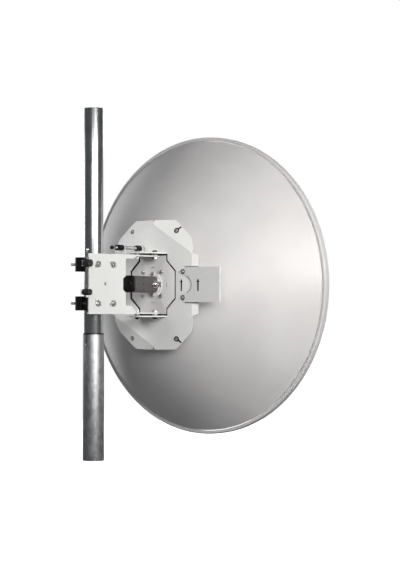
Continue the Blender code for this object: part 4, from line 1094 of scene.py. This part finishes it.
class ANTENNA_OT_plate_hardware(bpy.types.Operator):
    """Bolts on the four slanted flaps over black keyholes of painted shade; the radio plate's
    screws on black discs of painted shade, its rivets and its painted edge shade; black arrows of
    painted shade.
    """

    bl_idname = "antenna.plate_hardware"
    bl_label = "Plate hardware"

    def execute(self, context):
        self.flap_hardware()
        head = capped(FINE_CORE, (-0.0034, 0.0034), (-0.0016, 0.0052), (0.0, 0.0052),
                      (0.0, 0.0024), (0.0026, 0.0024))
        levels = (-0.041, 0.041)
        make_piece("radio_plate_screws",
                   [spun("Y", at(0.1265, RADIO_FACE - 0.0004, up), head, 0.0005, 40)
                    for up in levels], "steel", "dish")
        # Black discs under the screw heads paint the dark shade that rings them.
        disc = rows(capped(FINE_CORE, (-0.0006, 0.0078), (0.0001, 0.0078)))
        make_piece("radio_plate_painted_shade_discs",
                   [turned("Y", at(0.1265, RADIO_FACE, up), disc, 40) for up in levels],
                   "black_plastic", "dish")
        head = [(-0.0010, FINE_CORE), (-0.0008, 0.0016), (0.0001, 0.0024), (0.0001, FINE_CORE)]
        make_piece("radio_plate_rivets",
                   [spun("Y", at(0.2610, RADIO_FACE, up), head, 0.0003, 32)
                    for up in (-0.036, 0.036)], "white_paint", "dish")
        self.plate_edges()
        self.arrow(0.1182, PLATE_FACE)
        self.arrow(0.1880, RADIO_FACE)
        return {"FINISHED"}

    def flap_hardware(self):
        """A bolt on each slanted flap over a black keyhole of painted shade: a disc and the slot
        from it.
        """
        bolts = []
        slots = []
        for up in (-1.0, 1.0):
            for side in (-1.0, 1.0):
                into = (-FLAP_LEAN[0] * side, 1.0, -FLAP_LEAN[1] * up)
                seat = at(FLAP_BOLT_X * side, 0.2920, FLAP_BOLT_Z * up)
                bolts.append(hexagon_bolt(into, seat, 0.0038, 0.0056, 0.0048, turn=0.4 * side))
                slots.append(self.flap_slot(into, seat, side, up))
                wide = 0.0090 if side > 0.0 else 0.0072
                disc = rows(capped(FINE_CORE, (-0.0004, wide), (0.0008, wide)))
                slots.append(turned(into, seat, disc, 32))
        make_piece("flap_bolts", bolts, "steel", "dish")
        # The keyholes' black inlays paint the shade inside the holes in the flaps.
        make_piece("flap_painted_shade_keyholes", slots, "black_plastic", "dish")

    def flap_slot(self, into, seat, side, up):
        """The black round-ended slot of painted shade that runs outwards from under a flap's bolt.
        """
        half_width, behind = 0.0026, 0.0060
        run = np.array([-0.8 * side, 0.6 * up])
        side_step = np.array([-run[1], run[0]])
        reach = 0.0180 if side > 0.0 else 0.0040
        t = np.linspace(-0.5 * math.pi, 0.5 * math.pi, 9)[:, None]
        bend = half_width * (np.cos(t) * run + np.sin(t) * side_step)
        outline = np.vstack([reach * run + bend, -behind * run - bend])
        middle = 0.5 * (reach - behind) * run
        first, second, _ = cross_axes(into)
        centre = np.asarray(seat) + middle[0] * first + middle[1] * second
        return prism(into, centre, outline - middle, [(-0.0003, 0.0), (0.0008, 0.0)])

    def plate_edges(self):
        """Dark strips of painted shade on the radio plate's long edges and round its cable notch.

        The strip in the notch is a small flat bar swept along an arc about the notch's centre.
        """
        # These dark strips paint the shade that falls along the plate's folded edges and in its
        # notch.
        bars = [box_skin(at(0.1350, 0.2809, low), at(0.1890, 0.2836, low + 0.0022))
                for low in (0.0554, -0.0576)]
        centre, radius, sweep, half_width, half_depth = 0.134, 0.0267, 72.0, 0.0008, 0.0012
        t = np.radians(np.linspace(-sweep, sweep, 25))[:, None]
        out = half_width * np.array([1.0, 1.0, -1.0, -1.0])
        deep = half_depth * np.array([-1.0, 1.0, 1.0, -1.0])
        reach = radius + out[None, :]
        grid = np.stack(np.broadcast_arrays(
            centre + reach * np.cos(t), MAST_Y + 0.2822 + deep[None, :],
            CENTRE_Z + reach * np.sin(t)), axis=-1)
        make_piece("radio_plate_painted_edge_shade", bars + [skin(grid, grid[[0, -1]].mean(axis=1))],
                   "dark_steel", "dish")

    def arrow(self, across, face):
        """A black arrow inlay in the plate that paints the shade inside an arrow-shaped cut-out: a
        straight shaft under a three-sided head.
        """
        half = np.array([(0.0105, 0.0), (-0.0005, 0.0058), (0.0, 0.0027), (-0.0285, 0.0027)])
        outline = np.vstack([half, half[:0:-1] * (1.0, -1.0)])
        # The black inlay paints the shade inside an arrow-shaped cut-out in the sheet.
        shade_arrow = prism("Y", at(across, 0.0, 0.0090), outline - (0.0012, 0.0),
                     [(face - 0.0002, 0.0), (face + 0.0006, 0.0)])
        make_piece("arrow_painted_shade_" + str(int(round(across * 1000))), [shade_arrow], "black_plastic",
                   "dish")


class ANTENNA_OT_plate_light(bpy.types.Operator):
    """A high soft light that falls only on the back plate, the hub and the feed's rear."""

    bl_idname = "antenna.plate_light"
    bl_label = "Plate light"

    def execute(self, context):
        lit = bpy.data.collections.new("lit_by_plate_light")
        for name in PLATE_LIGHT_PIECES:
            lit.objects.link(bpy.data.objects[name])
        lamp = area_light("plate_light", context.scene.antenna_stage.plate_power)
        lamp.light_linking.receiver_collection = lit
        return {"FINISHED"}


class ANTENNA_PT_panel(bpy.types.Panel):
    """Lists the pieces of the antenna and its sizes in the sidebar."""

    bl_idname = "ANTENNA_PT_panel"
    bl_label = "Dish antenna"
    bl_space_type = "VIEW_3D"
    bl_region_type = "UI"
    bl_category = "Antenna"

    def draw(self, context):
        for group in (context.scene.antenna_sizes, context.scene.antenna_stage):
            box = self.layout.box()
            for name in group.bl_rna.properties.keys():
                if name not in ("rna_type", "name"):
                    box.prop(group, name)
        for step in STEPS:
            self.layout.operator(step.bl_idname)


GROUPS = (ANTENNA_PG_sizes, ANTENNA_PG_stage)
STEPS = (ANTENNA_OT_stage, ANTENNA_OT_finishes, ANTENNA_OT_mast, ANTENNA_OT_sheet_metal,
         ANTENNA_OT_jaws, ANTENNA_OT_clamp_bolts, ANTENNA_OT_turning_bolts,
         ANTENNA_OT_elevation_screw, ANTENNA_OT_azimuth_screw, ANTENNA_OT_feed_unit,
         ANTENNA_OT_reflector, ANTENNA_OT_feed_tube, ANTENNA_OT_plate_hardware,
         ANTENNA_OT_plate_light)


def register():
    """Registers the classes and hangs the settings on the scene."""
    for part in GROUPS + STEPS + (ANTENNA_PT_panel,):
        bpy.utils.register_class(part)
    bpy.types.Scene.antenna_sizes = bpy.props.PointerProperty(type=ANTENNA_PG_sizes)
    bpy.types.Scene.antenna_stage = bpy.props.PointerProperty(type=ANTENNA_PG_stage)


def unregister():
    """Takes the settings and the classes away again."""
    del bpy.types.Scene.antenna_stage
    del bpy.types.Scene.antenna_sizes
    for part in reversed(GROUPS + STEPS + (ANTENNA_PT_panel,)):
        bpy.utils.unregister_class(part)


def main():
    register()
    for step in STEPS:
        group, name = step.bl_idname.split(".")
        getattr(getattr(bpy.ops, group), name)()


if __name__ == "__main__":
    main()
